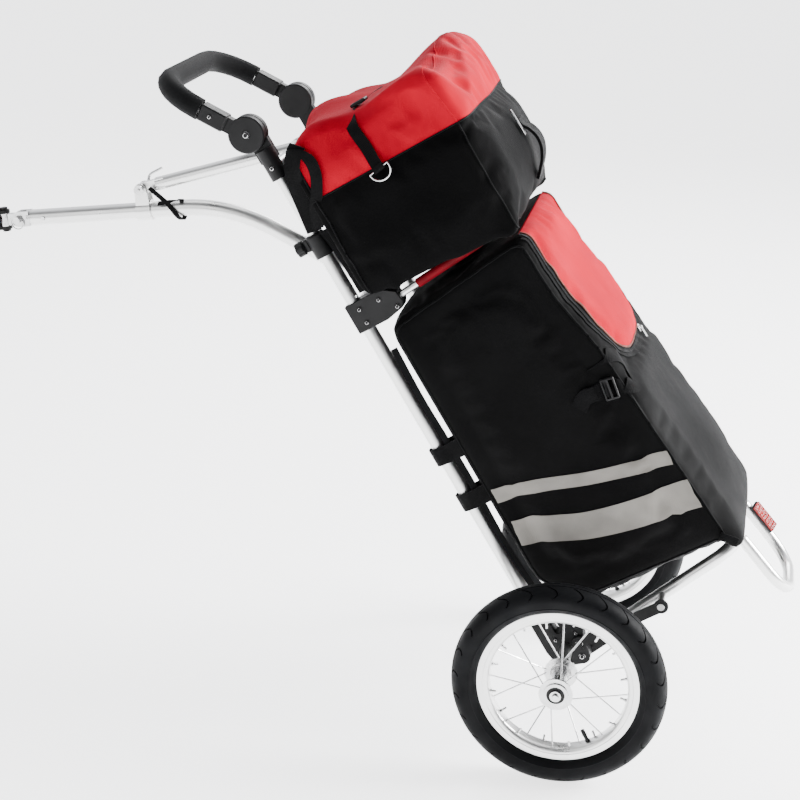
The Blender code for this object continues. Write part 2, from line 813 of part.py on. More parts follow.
def build_collar(name, frame, side, material):
    step = RAIL_TOP + SEAT_GAP
    low = RAIL_TOP - COLLAR_BELOW
    high = RAIL_TOP + COLLAR_ABOVE
    profile = [
        (COLLAR_RADIUS, low),
        (RAIL_RADIUS + SEAT_GAP, low),
        (RAIL_RADIUS + SEAT_GAP, step),
        (INNER_TUBE_RADIUS + RUNNING_GAP, step),
        (INNER_TUBE_RADIUS + RUNNING_GAP, high),
        (COLLAR_RADIUS - 0.002, high),
        (COLLAR_RADIUS, high - 0.003),
    ]
    profile.reverse()
    collar = settle(turned(name, profile, 24))
    middle = RAIL_TOP + 0.001
    boss = block(
        "boss", (-COLLAR_RADIUS - 0.005, -0.0065, middle - 0.009),
        (-RAIL_RADIUS - 0.002, 0.0065, middle + 0.009),
        0.0015, CUTTERS,
    )
    fuse(collar, boss)
    put(collar, frame, (RAIL_X, side * RAIL_Y, 0))
    return dress(collar, material)


def build_collar_knob(name, knob_body, side, material):
    start = -COLLAR_RADIUS - 0.005 - SEAT_GAP
    profile = [(KNOB_RADIUS, KNOB_LENGTH), (KNOB_RADIUS, 0.003), (0.006, 0.0)]
    work = bmesh.new()
    points = [work.verts.new((0.0, 0.0, KNOB_LENGTH))]
    points += [work.verts.new((radius, 0.0, height)) for radius, height in profile]
    points.append(work.verts.new((0.0, 0.0, 0.0)))
    for here, there in zip(points, points[1:]):
        work.edges.new((here, there))
    knob = from_bmesh(name, work)
    screw = knob.modifiers.new("turn", "SCREW")
    screw.axis = "Z"
    screw.angle = math.tau
    screw.steps = 20
    screw.render_steps = 20
    screw.use_merge_vertices = True
    screw.merge_threshold = 0.00001
    settle(knob)
    flutes = []
    for index in range(6):
        angle = math.tau * index / 6
        x = (KNOB_RADIUS + 0.0018) * math.cos(angle)
        y = (KNOB_RADIUS + 0.0018) * math.sin(angle)
        flutes.append(drill(0.0032, (x, y, -0.01), (x, y, KNOB_LENGTH + 0.01), 8))
    cut(knob, *flutes)
    knob.data.transform(Matrix.Rotation(math.radians(-90), 4, "Y"))
    knob.data.transform(Matrix.Translation((start, 0, 0)))
    put(knob, knob_body, (RAIL_X, side * RAIL_Y, RAIL_TOP + 0.001))
    return dress(knob, material)


# Telescoping tubes and the sockets on top

def build_inner_tube(name, slide, side, material):
    low = RAIL_TOP - INNER_TUBE_OVERLAP
    high = SLEEVE_TOP - 0.008
    inner = INNER_TUBE_RADIUS - INNER_TUBE_WALL
    inner_tube = turned(name, ring_profile(inner, INNER_TUBE_RADIUS, low, high), 20)
    put(inner_tube, slide, (RAIL_X, side * RAIL_Y, 0))
    return dress(inner_tube, material)


def build_socket(name, slide, side, material):
    low, high = mirrored_span(side, SOCKET_DISC_Y - DISC_THICKNESS / 2, SOCKET_DISC_Y + DISC_THICKNESS / 2)
    disc = rod(name, DISC_RADIUS, (HANDLE_X, low, HANDLE_Z), (HANDLE_X, high, HANDLE_Z), 32)
    round_edges(disc, 0.0015, 1)
    settle(disc)
    neck = block(
        "neck", (HANDLE_X - 0.007, low + 0.0004, SOCKET_BOTTOM + 0.027),
        (HANDLE_X + 0.020, high - 0.0004, HANDLE_Z), 0.0, CUTTERS,
    )
    foot = Vector((RAIL_X, side * RAIL_Y, SOCKET_BOTTOM))
    sleeve = drill(SLEEVE_RADIUS, foot, foot + Vector((0, 0, SLEEVE_LENGTH)), 24)
    fuse(disc, neck, sleeve)
    bore = drill(
        INNER_TUBE_RADIUS + SEAT_GAP,
        (RAIL_X, side * RAIL_Y, SOCKET_BOTTOM - 0.01),
        (RAIL_X, side * RAIL_Y, SLEEVE_TOP - 0.008 + SEAT_GAP),
        24,
    )
    cut(disc, bore)
    outer = side * (SOCKET_DISC_Y + DISC_THICKNESS * 1.5 + 2 * RUNNING_GAP)
    middle = side * SOCKET_DISC_Y
    sleeve_face = side * (RAIL_Y + SLEEVE_RADIUS)
    out = side * 0.0020
    fuse(
        disc,
        across(PIVOT_PIN_RADIUS, HANDLE_X, HANDLE_Z, middle, outer + out, 16),
        across(0.0052, HANDLE_X, HANDLE_Z, outer, outer + out, 16),
        across(0.0034, RAIL_X, UPPER_CROSS_Z, sleeve_face - out, sleeve_face + out, 12),
    )
    put(disc, slide)
    return dress(disc, material)


def build_upper_cross_tube(slide, material):
    reach = RAIL_Y - SLEEVE_RADIUS - SEAT_GAP
    cross = rod(
        "upper_cross_tube", UPPER_CROSS_RADIUS,
        (RAIL_X, -reach, UPPER_CROSS_Z), (RAIL_X, reach, UPPER_CROSS_Z),
    )
    put(cross, slide)
    return dress(cross, material)


# Handle, drawn with +Z along its arms from the pivot

def handle_y():
    return SOCKET_DISC_Y + DISC_THICKNESS + RUNNING_GAP


def handle_path(start):
    y = handle_y()
    top = HANDLE_REACH
    corners = [(0, -y, start), (0, -y, top), (0, y, top), (0, y, start)]
    return rounded_path(corners, [HANDLE_CORNER - 0.008, HANDLE_CORNER - 0.008], 6)


def build_handle_tube(handle, material):
    bar = tube("handle_tube", handle_path(0.034), HANDLE_TUBE_RADIUS, 10)
    put(smooth(bar), handle)
    return dress(bar, material)


def build_grip(handle, material):
    grip = tube("handle_grip", handle_path(GRIP_START), GRIP_RADIUS, 12)
    core = tube("core", handle_path(0.030), HANDLE_TUBE_RADIUS + SEAT_GAP, 10, CUTTERS)
    cut(grip, core)
    put(smooth(grip), handle)
    return dress(grip, material)


def build_handle_arm(name, handle, side, material):
    middle = side * handle_y()
    low = middle - DISC_THICKNESS / 2
    high = middle + DISC_THICKNESS / 2
    disc = rod(name, DISC_RADIUS, (0, low, 0), (0, high, 0), 32)
    round_edges(disc, 0.0015, 1)
    settle(disc)
    bar = block(
        "bar", (-ARM_HALF_WIDTH, middle - 0.0120, DISC_RADIUS + 0.006),
        (ARM_HALF_WIDTH, middle + 0.0120, ARM_LENGTH),
        0.002, CUTTERS,
    )
    neck = block(
        "neck", (-ARM_HALF_WIDTH + 0.001, low + 0.0004, 0.0),
        (ARM_HALF_WIDTH - 0.001, high - 0.0004, ARM_LENGTH - 0.02),
        0.0, CUTTERS,
    )
    fuse(disc, bar, neck)
    bore = drill(HANDLE_TUBE_RADIUS + SEAT_GAP, (0, middle, 0.0337), (0, middle, ARM_LENGTH + 0.01), 20)
    screw = across(PIVOT_PIN_RADIUS + RUNNING_GAP, 0, 0, low - 0.01, high + 0.01)
    cut(disc, bore, screw)
    face = middle + side * 0.0120
    fuse(disc, across(0.0032, 0, 0.0545, face - side * 0.0016, face + side * 0.0016, 12))
    put(disc, handle)
    return dress(disc, material)


# Towing arm, drawn level from the lower cross tube

def tow_direction():
    run = Vector((ARM_END_X - ARM_BEND_X, 0, ARM_END_Z - ARM_BEND_Z))
    return run.normalized()


def tow_turn():
    """How far the hitch's frame is turned about Y, so that its -X runs along the towing arm."""
    run = tow_direction()
    return math.atan2(run.z, -run.x)


def build_towing_arm(tow, material):
    bend = Vector((ARM_BEND_X, 0, ARM_BEND_Z))
    start = bend.normalized() * (LOWER_CROSS_RADIUS + 0.003)
    path = rounded_path([start, bend, (ARM_END_X, 0, ARM_END_Z)], [ARM_BEND_RADIUS], 10)
    arm = tube("towing_arm", path, ARM_RADIUS, 16)
    eye = rod(
        "eye", ARM_EYE_RADIUS, (0, -ARM_EYE_HALF_WIDTH, 0), (0, ARM_EYE_HALF_WIDTH, 0), 24, CUTTERS,
    )
    fuse(arm, eye)
    end = Vector((ARM_END_X, 0, ARM_END_Z))
    back = end - tow_direction() * (FORK_PLUG + SEAT_GAP)
    plug = drill(ARM_RADIUS - RAIL_WALL, back, end + tow_direction() * 0.01, 16)
    pin = across(LOWER_CROSS_RADIUS + RUNNING_GAP, 0, 0, sides=24)
    hole = end - tow_direction() * 0.0215
    button = drill(0.0034, hole + Vector((0, -0.02, 0)), hole, 12)
    cut(arm, plug, pin, button)
    put(smooth(arm), tow)
    return dress(arm, material)


def build_bracket(hitch, material):
    """A band round the towing arm with two upright ears for the skewer."""
    band = rod(
        "arm_bracket", ARM_RADIUS + 0.0032, (BRACKET_ALONG - 0.011, 0, 0), (BRACKET_ALONG + 0.011, 0, 0), 24,
    )
    ears = []
    for side in (-1, 1):
        outline = (
            [(BRACKET_ALONG - 0.011, 0.0), (BRACKET_ALONG + 0.011, 0.0)]
            + arc((BRACKET_ALONG, BRACKET_HEIGHT), 0.0085, 0, 180, 6)
        )
        ear = plate("ear", outline, BRACKET_THICKNESS, CUTTERS)
        ear.data.transform(Matrix.Translation((0, side * (BRACKET_GAP + BRACKET_THICKNESS / 2), 0)))
        ears.append(ear)
    fuse(band, *ears)
    bore = drill(ARM_RADIUS + SEAT_GAP, (BRACKET_ALONG - 0.03, 0, 0), (BRACKET_ALONG + 0.03, 0, 0), 16)
    hole = across(SKEWER_RADIUS + SEAT_GAP, BRACKET_ALONG, BRACKET_HEIGHT, -0.03, 0.03)
    cut(band, bore, hole)
    put(band, hitch)
    return dress(band, material)


def build_skewer(hitch, material):
    """The quick-release skewer: a rod with a nut on the left and a cam head on the right."""
    x = BRACKET_ALONG
    z = BRACKET_HEIGHT
    ear = BRACKET_GAP + BRACKET_THICKNESS + SEAT_GAP
    skewer = rod("skewer", SKEWER_RADIUS, (x, -ear - 0.010, z), (x, ear + 0.004, z), 16)
    nut = rod("nut", 0.0070, (x, -ear - 0.0075, z), (x, -ear, z), 16, CUTTERS)
    head = rod("head", 0.0065, (x, ear, z), (x, ear + 0.0070, z), 16, CUTTERS)
    fuse(skewer, nut, head)
    put(skewer, hitch)
    return dress(skewer, material)


def build_lever(lever_body, material):
    """The skewer's cam lever, a thin bent strip with a boss that rides on the head."""
    ear = BRACKET_GAP + BRACKET_THICKNESS + SEAT_GAP
    y = ear + 0.0070 + RUNNING_GAP + 0.0055
    boss = rod("skewer_lever", 0.0055, (-0.0045, 0, 0), (0.0045, 0, 0), 16)
    path = rounded_path([(0, 0, 0), (0.004, 0.002, 0.014), (0.024, 0.004, 0.022)], [0.010], 4)
    strip = tube("strip", path, 0.0021, 8, CUTTERS)
    fuse(boss, strip)
    put(boss, lever_body, (BRACKET_ALONG, y, BRACKET_HEIGHT))
    return dress(boss, material)


def build_strut(strut, reach, material):
    """The strut, drawn along -X from its eye on the upper cross tube to the slot on the skewer."""
    bar = rod("strut_tube", STRUT_RADIUS, (0, 0, 0), (-reach + STRUT_TONGUE - 0.010, 0, 0), 20)
    eye = rod("eye", STRUT_EYE_RADIUS, (0, -STRUT_EYE_HALF_WIDTH, 0), (0, STRUT_EYE_HALF_WIDTH, 0), 24, CUTTERS)
    start = -reach + STRUT_TONGUE + 0.004
    outline = arc((-reach, 0), 0.0075, 270, 90, 8) + [(start, 0.0075), (start, -0.0075)]
    tongue = plate("tongue", outline, 2 * (BRACKET_GAP - 0.0008), CUTTERS)
    fuse(bar, eye, tongue)
    hole = across(SKEWER_RADIUS + 0.0006, -reach, 0, -0.02, 0.02)
    slot = block(
        "slot", (-reach - 0.02, -0.02, -SKEWER_RADIUS - 0.0006), (-reach, 0.02, SKEWER_RADIUS + 0.0006),
        0.0, CUTTERS,
    )
    open_way = Matrix.Translation((-reach, 0, 0)) @ Matrix.Rotation(-SLOT_TURN, 4, "Y")
    slot.data.transform(open_way @ Matrix.Translation((reach, 0, 0)))
    bore = across(UPPER_CROSS_RADIUS + RUNNING_GAP, 0, 0, sides=24)
    cut(bar, hole, slot, bore)
    put(bar, strut)
    return dress(bar, material)


# Hitch, drawn with -X along the towing arm from its end

def build_fork(hitch, material):
    plug = rod("hitch_fork", ARM_RADIUS - RAIL_WALL - SEAT_GAP, (-0.003, 0, 0), (FORK_PLUG, 0, 0), 16)
    shoulder = rod("shoulder", ARM_RADIUS, (-0.0060, 0, 0), (-SEAT_GAP, 0, 0), 16, CUTTERS)
    cheeks = []
    for side in (-1, 1):
        outline = [(-0.002, FORK_HEIGHT / 2), (-0.002, -FORK_HEIGHT / 2)]
        outline = arc((HITCH_PIN_X, 0), FORK_HEIGHT / 2, 270, 90, 8) + outline
        cheek = plate("cheek", outline, FORK_THICKNESS, CUTTERS)
        cheek.data.transform(Matrix.Translation((0, side * (FORK_GAP + FORK_THICKNESS / 2), 0)))
        cheeks.append(cheek)
    fuse(plug, shoulder, *cheeks)
    hole = across(HITCH_PIN_RADIUS + RUNNING_GAP, HITCH_PIN_X, 0, -0.03, 0.03)
    button = drill(0.0034, (0.0215, -0.02, 0), (0.0215, -0.004, 0), 12)
    cut(plug, hole, button)
    put(plug, hitch)
    return dress(plug, material)


def build_snap_button(button_body, material):
    button = rod("snap_button", 0.0030, (0.0215, -ARM_RADIUS - 0.0018, 0), (0.0215, -0.0085, 0), 12)
    button.data.transform(Matrix.Translation((-0.0215, ARM_RADIUS, 0)))
    put(button, button_body, (0.0215, -ARM_RADIUS, 0))
    return dress(button, material)


def build_knuckle(knuckle, material):
    """The tongue on the hitch pin and the upright barrel that the clamp swings on."""
    outline = arc((HITCH_PIN_X, 0), 0.0085, 60, -60, 6) + [(YAW_X, -0.0085), (YAW_X, 0.0085)]
    tongue = plate("hitch_knuckle", outline, 2 * (FORK_GAP - RUNNING_GAP))
    barrel = rod("barrel", YAW_RADIUS, (YAW_X, 0, -0.0095), (YAW_X, 0, 0.0095), 20, CUTTERS)
    fuse(tongue, barrel)
    hole = across(HITCH_PIN_RADIUS + RUNNING_GAP, HITCH_PIN_X, 0, -0.03, 0.03)
    bore = drill(0.0038, (YAW_X, 0, -0.03), (YAW_X, 0, 0.03), 12)
    cut(tongue, hole, bore)
    put(tongue, knuckle)
    return dress(tongue, material)


def build_hitch_pin(pin_body, material):
    outer = FORK_GAP + FORK_THICKNESS + SEAT_GAP
    shaft = rod("hitch_pin", HITCH_PIN_RADIUS, (0, -outer - 0.0045, 0), (0, outer + 0.004, 0), 14)
    head = rod("head", 0.0055, (0, -outer - 0.0075, 0), (0, -outer - 0.0040, 0), 14, CUTTERS)
    fuse(shaft, head)
    put(shaft, pin_body, (HITCH_PIN_X, 0, 0))
    return dress(shaft, material)


def build_pull_ring(ring_body, material):
    """The ring hangs on the pin between its head and the fork."""
    y = -(FORK_GAP + FORK_THICKNESS + SEAT_GAP + 0.0020)
    steps = 20
    drop = RING_RADIUS - RING_WIRE - HITCH_PIN_RADIUS - RUNNING_GAP
    loop = []
    for step in range(steps):
        angle = math.tau * step / steps
        loop.append((RING_RADIUS * math.cos(angle), y, RING_RADIUS * math.sin(angle) - drop))
    ring = as_mesh(curve_object("pull_ring", [[(point, RING_WIRE) for point in loop]], sides=6, cyclic=True))
    put(smooth(ring), ring_body, (HITCH_PIN_X, 0, 0))
    return dress(ring, material)


def post_axis():
    return Vector((math.sin(POST_LEAN), 0, math.cos(POST_LEAN)))


def clamp_cutters():
    """The seat post's bore and the two bolt holes, shared by both halves."""
    post = Vector((POST_X, 0, 0))
    reach = post_axis() * 0.05
    return drill(POST_RADIUS, post - reach, post + reach, 32)


def build_clamp_body(clamp, material):
    """The half with two ears that swings on the knuckle, and the yaw bolt it swings on."""
    half = block(
        "seat_clamp_body", (POST_X + 0.0008, -CLAMP_HALF_WIDTH, -CLAMP_HALF_HEIGHT),
        (CLAMP_START, CLAMP_HALF_WIDTH, CLAMP_HALF_HEIGHT), 0.004,
    )
    settle(half)
    ears = []
    for low, high in ((-0.0145, -0.0100), (0.0100, 0.0145)):
        ears.append(block("ear", (CLAMP_START - 0.004, -0.0088, low), (YAW_X, 0.0088, high), 0.0, CUTTERS))
        ears.append(drill(0.0088, (YAW_X, 0, low), (YAW_X, 0, high), 16))
    fuse(half, *ears)
    bolts = [
        drill(BOLT_RADIUS + SEAT_GAP, (POST_X, side * BOLT_Y, 0), (CLAMP_START + 0.01, side * BOLT_Y, 0), 12)
        for side in (-1, 1)
    ]
    cut(half, clamp_cutters(), *bolts)
    shaft = drill(BOLT_RADIUS, (YAW_X, 0, -0.0170), (YAW_X, 0, 0.0170), 12)
    head = drill(0.0060, (YAW_X, 0, 0.0140), (YAW_X, 0, 0.0180), 12)
    nut = drill(0.0060, (YAW_X, 0, -0.0180), (YAW_X, 0, -0.0140), 6)
    fuse(half, shaft, head, nut)
    put(half, clamp)
    return dress(half, material)


def build_clamp_cap(clamp, material):
    """The cap in front of the seat post, with the two bolts that draw it to the body."""
    far = POST_X - POST_RADIUS - CLAMP_WALL
    cap = block(
        "seat_clamp_cap", (far, -CLAMP_HALF_WIDTH, -CLAMP_HALF_HEIGHT),
        (POST_X - 0.0008, CLAMP_HALF_WIDTH, CLAMP_HALF_HEIGHT), 0.004,
    )
    settle(cap)
    cut(cap, clamp_cutters())
    bolts = []
    for side in (-1, 1):
        y = side * BOLT_Y
        bolts.append(drill(BOLT_RADIUS, (far - 0.004, y, 0), (CLAMP_START + 0.0045, y, 0), 12))
        bolts.append(drill(0.0050, (far - 0.004, y, 0), (far + 0.001, y, 0), 12))
        bolts.append(drill(0.0050, (CLAMP_START + SEAT_GAP, y, 0), (CLAMP_START + 0.0045, y, 0), 6))
    fuse(cap, *bolts)
    put(cap, clamp)
    return dress(cap, material)


# Platform, drawn with +X out along it from the pivot

def build_platform(platform, material):
    z = 0.0
    corners = [
        (PLATFORM_START, -PLATFORM_Y, z), (PLATFORM_FRONT, -PLATFORM_Y, z),
        (PLATFORM_FRONT, PLATFORM_Y, z), (PLATFORM_START, PLATFORM_Y, z),
    ]
    path = rounded_path(corners, [PLATFORM_CORNER - 0.002] * 2, 6)
    loop = tube("platform_tube", path, PLATFORM_RADIUS, 12)
    bolts = []
    for side, _ in SIDES:
        inner_face = side * (LINK_Y - LINK_THICKNESS / 2 - RUNNING_GAP)
        outer_face = side * (LINK_Y + LINK_THICKNESS / 2 + RUNNING_GAP)
        bolts.append(across(0.0060, LINK_ALONG, 0, side * PLATFORM_Y, inner_face, 14))
        bolts.append(across(PIVOT_PIN_RADIUS, LINK_ALONG, 0, side * PLATFORM_Y, outer_face + side * 0.002, 14))
        bolts.append(across(0.0050, LINK_ALONG, 0, outer_face, outer_face + side * 0.002, 14))
    fuse(loop, *bolts)
    put(smooth(loop), platform)
    return dress(loop, material)


def build_foot(platform, material):
    top = -PLATFORM_RADIUS - SEAT_GAP
    bottom = -FOOT_DROP
    corners = [
        (PLATFORM_FRONT, -FOOT_Y, top), (PLATFORM_FRONT, -FOOT_Y, bottom),
        (PLATFORM_FRONT, FOOT_Y, bottom), (PLATFORM_FRONT, FOOT_Y, top),
    ]
    path = rounded_path(corners, [FOOT_CORNER] * 2, 6)
    foot = tube("foot_loop", path, FOOT_RADIUS, 12)
    put(smooth(foot), platform)
    return dress(foot, material)


def build_reflector(platform, material):
    face = PLATFORM_FRONT + FOOT_RADIUS + REFLECTOR_BACKING
    low = -REFLECTOR_DROP - REFLECTOR_LENGTH / 2
    lens = block(
        "reflector", (face, FOOT_Y - REFLECTOR_WIDTH / 2, low),
        (face + REFLECTOR_DEPTH, FOOT_Y + REFLECTOR_WIDTH / 2, low + REFLECTOR_LENGTH), 0.0015,
    )
    put(lens, platform)
    return dress(lens, material)


def clip_y():
    return RAIL_Y - LUG_HALF_THICKNESS - RUNNING_GAP - CLIP_THICKNESS / 2


def build_clip(name, platform, side, material):
    """The black end of a platform tube: a flat ear on the pivot pin and a sleeve on the tube."""
    start = CLIP_SLEEVE_START
    half = CLIP_HALF_HEIGHT
    outline = arc((0, 0), CLIP_EYE_RADIUS, 90, 250, 8)
    outline += [(0.006, -half), (CLIP_LENGTH, -half), (CLIP_LENGTH, half)]
    outline += [(start, half), (start, CLIP_EYE_RADIUS)]
    clip = plate(name, outline, CLIP_THICKNESS)
    clip.data.transform(Matrix.Translation((0, side * clip_y(), 0)))
    low, high = mirrored_span(side, PLATFORM_Y - half, clip_y() + CLIP_THICKNESS / 2 - 0.0002)
    sleeve = block(
        "sleeve", (start + 0.0001, low, -half + 0.0002), (CLIP_LENGTH + 0.0004, high, half - 0.0002),
        0.0, CUTTERS,
    )
    fuse(clip, sleeve)
    seat = drill(
        PLATFORM_RADIUS + SEAT_GAP, (PLATFORM_START - SEAT_GAP, side * PLATFORM_Y, 0),
        (0.06, side * PLATFORM_Y, 0), 16,
    )
    cut(clip, across(PIVOT_PIN_RADIUS + RUNNING_GAP, 0, 0), seat)
    put(clip, platform)
    return dress(clip, material)


def link_run():
    """From the link's bolt on the platform to its stud on the lug, in the cart's frame."""
    bolt = Vector((PLATFORM_PIVOT_X, 0, PLATFORM_PIVOT_Z))
    bolt += Vector((math.cos(PLATFORM_RISE), 0, math.sin(PLATFORM_RISE))) * LINK_ALONG
    return Vector((STUD_X, 0, STUD_Z)) - bolt


def build_link(name, links, side, material):
    """An arm from the platform to a lug, drawn along -X from its bolt; its hook opens downwards."""
    reach = link_run().length
    eye = STUD_RADIUS + 0.0006
    bolt_eye = arc((0, 0), LINK_EYE_RADIUS, 130, -130, 12)
    hook_eye = arc((-reach, 0), LINK_EYE_RADIUS, 310, 50, 12)
    arm = plate(name, bolt_eye + hook_eye, LINK_THICKNESS)
    arm.data.transform(Matrix.Translation((0, side * LINK_Y, 0)))
    mouth = block("mouth", (-eye, -0.3, -0.03), (eye, 0.3, 0.0), 0.0, CUTTERS)
    turn = Matrix.Rotation(-HOOK_TURN, 4, "Y")
    mouth.data.transform(Matrix.Translation((-reach, 0, 0)) @ turn)
    cut(arm, across(PIVOT_PIN_RADIUS + RUNNING_GAP, 0, 0), across(eye, -reach, 0), mouth)
    put(arm, links)
    return dress(arm, material)


# Bags

def soft_block(name, outline, half_width, parent, material):
    bag = plate(name, outline, 2 * half_width)
    round_edges(bag, BAG_EDGE, 3, 40)
    put(bag, parent)
    return dress(smooth(bag, 80), material)


def build_lower_bag(frame, material):
    top = PLATE_LOW - BAG_TO_PLATE
    outline = [
        (BAG_BACK, LOWER_BAG_FLOOR + 0.053), (BAG_BACK + 0.052, LOWER_BAG_FLOOR),
        (LOWER_BAG_FLOOR_X, LOWER_BAG_FLOOR), (LOWER_BAG_FRONT_X + 0.030, 0.380),
        (LOWER_BAG_FRONT_X, top + 0.027), (BAG_BACK, top),
    ]
    return soft_block("lower_bag", outline, LOWER_BAG_HALF_WIDTH, frame, material)


def build_upper_bag(frame, material):
    low = PLATE_HIGH + BAG_TO_PLATE
    high = low + UPPER_BAG_HEIGHT
    outline = [
        (BAG_BACK + 0.002, low), (UPPER_BAG_FRONT_X, low),
        (UPPER_BAG_FRONT_X - 0.001, high - 0.020), (BAG_BACK + 0.046, high),
        (BAG_BACK + 0.002, high - 0.018),
    ]
    bag = soft_block("upper_bag", outline, UPPER_BAG_HALF_WIDTH, frame, material)
    settle(bag)
    face = -UPPER_BAG_HALF_WIDTH
    hang = Matrix.Translation((RING_X, face, RING_Z)) @ Matrix.Rotation(-RING_SLOPE, 4, "Y")
    strap = block(
        "strap", (-RING_STRAP / 2, -0.0022, 0.002), (RING_STRAP / 2, 0.004, 0.076), 0.0, CUTTERS,
    )
    wide = RING_STRAP / 2 + 0.0005
    loop = drill(0.0034, (-wide, RING_OUT, 0), (wide, RING_OUT, 0), 14)
    hole = drill(RING_BAR + RUNNING_GAP, (-0.03, RING_OUT, 0), (0.03, RING_OUT, 0), 12)
    for helper in (strap, loop, hole):
        helper.data.transform(hang)
        helper.parent = frame
    fuse(bag, strap, loop)
    return cut(bag, hole)


def build_d_ring(ring_body, material):
    """A D-ring in a webbing loop; drawn hanging from the middle of its straight bar."""
    half = RING_WIDTH / 2
    loop = [(-half, 0.0, 0.0), (half, 0.0, 0.0)]
    for step in range(0, 13):
        angle = -math.pi * step / 12
        loop.append((half * math.cos(angle), 0.0, -0.0025 + (RING_DROP - 0.0025) * math.sin(angle)))
    ring = as_mesh(curve_object("left_d_ring", [[(point, RING_BAR) for point in loop]], sides=8, cyclic=True))
    put(smooth(ring), ring_body)
    return dress(ring, material)


def build_side_buckle(frame, material):
    """The ladder lock of the strap across the lower bag's left side."""
    outer = face = -LOWER_BAG_HALF_WIDTH
    buckle = block(
        "side_buckle", (BUCKLE_X - 0.012, outer - 0.0038, BUCKLE_Z - 0.0155),
        (BUCKLE_X + 0.012, face - SEAT_GAP, BUCKLE_Z + 0.0155), 0.0012,
    )
    slots = [
        block(
            "slot", (BUCKLE_X + start, outer - 0.01, BUCKLE_Z - 0.0128),
            (BUCKLE_X + start + 0.0050, outer + 0.01, BUCKLE_Z + 0.0128), 0.0, CUTTERS,
        )
        for start in (-0.0095, 0.0040)
    ]
    settle(buckle)
    cut(buckle, *slots)
    put(buckle, frame)
    return dress(buckle, material)


def centre_on_floor(stand):
    """Moves the whole trailer so that the origin is under the middle of its bounding box."""
    bpy.context.view_layer.update()
    graph = bpy.context.evaluated_depsgraph_get()
    corners = []
    for obj in bpy.data.collections[PARTS].objects:
        if obj.type == "MESH":
            ready = obj.evaluated_get(graph)
            corners += [ready.matrix_world @ vertex.co for vertex in ready.data.vertices]
    low = [min(corner[axis] for corner in corners) for axis in range(3)]
    high = [max(corner[axis] for corner in corners) for axis in range(3)]
    stand.location = (-(low[0] + high[0]) / 2, -(low[1] + high[1]) / 2, -low[2])


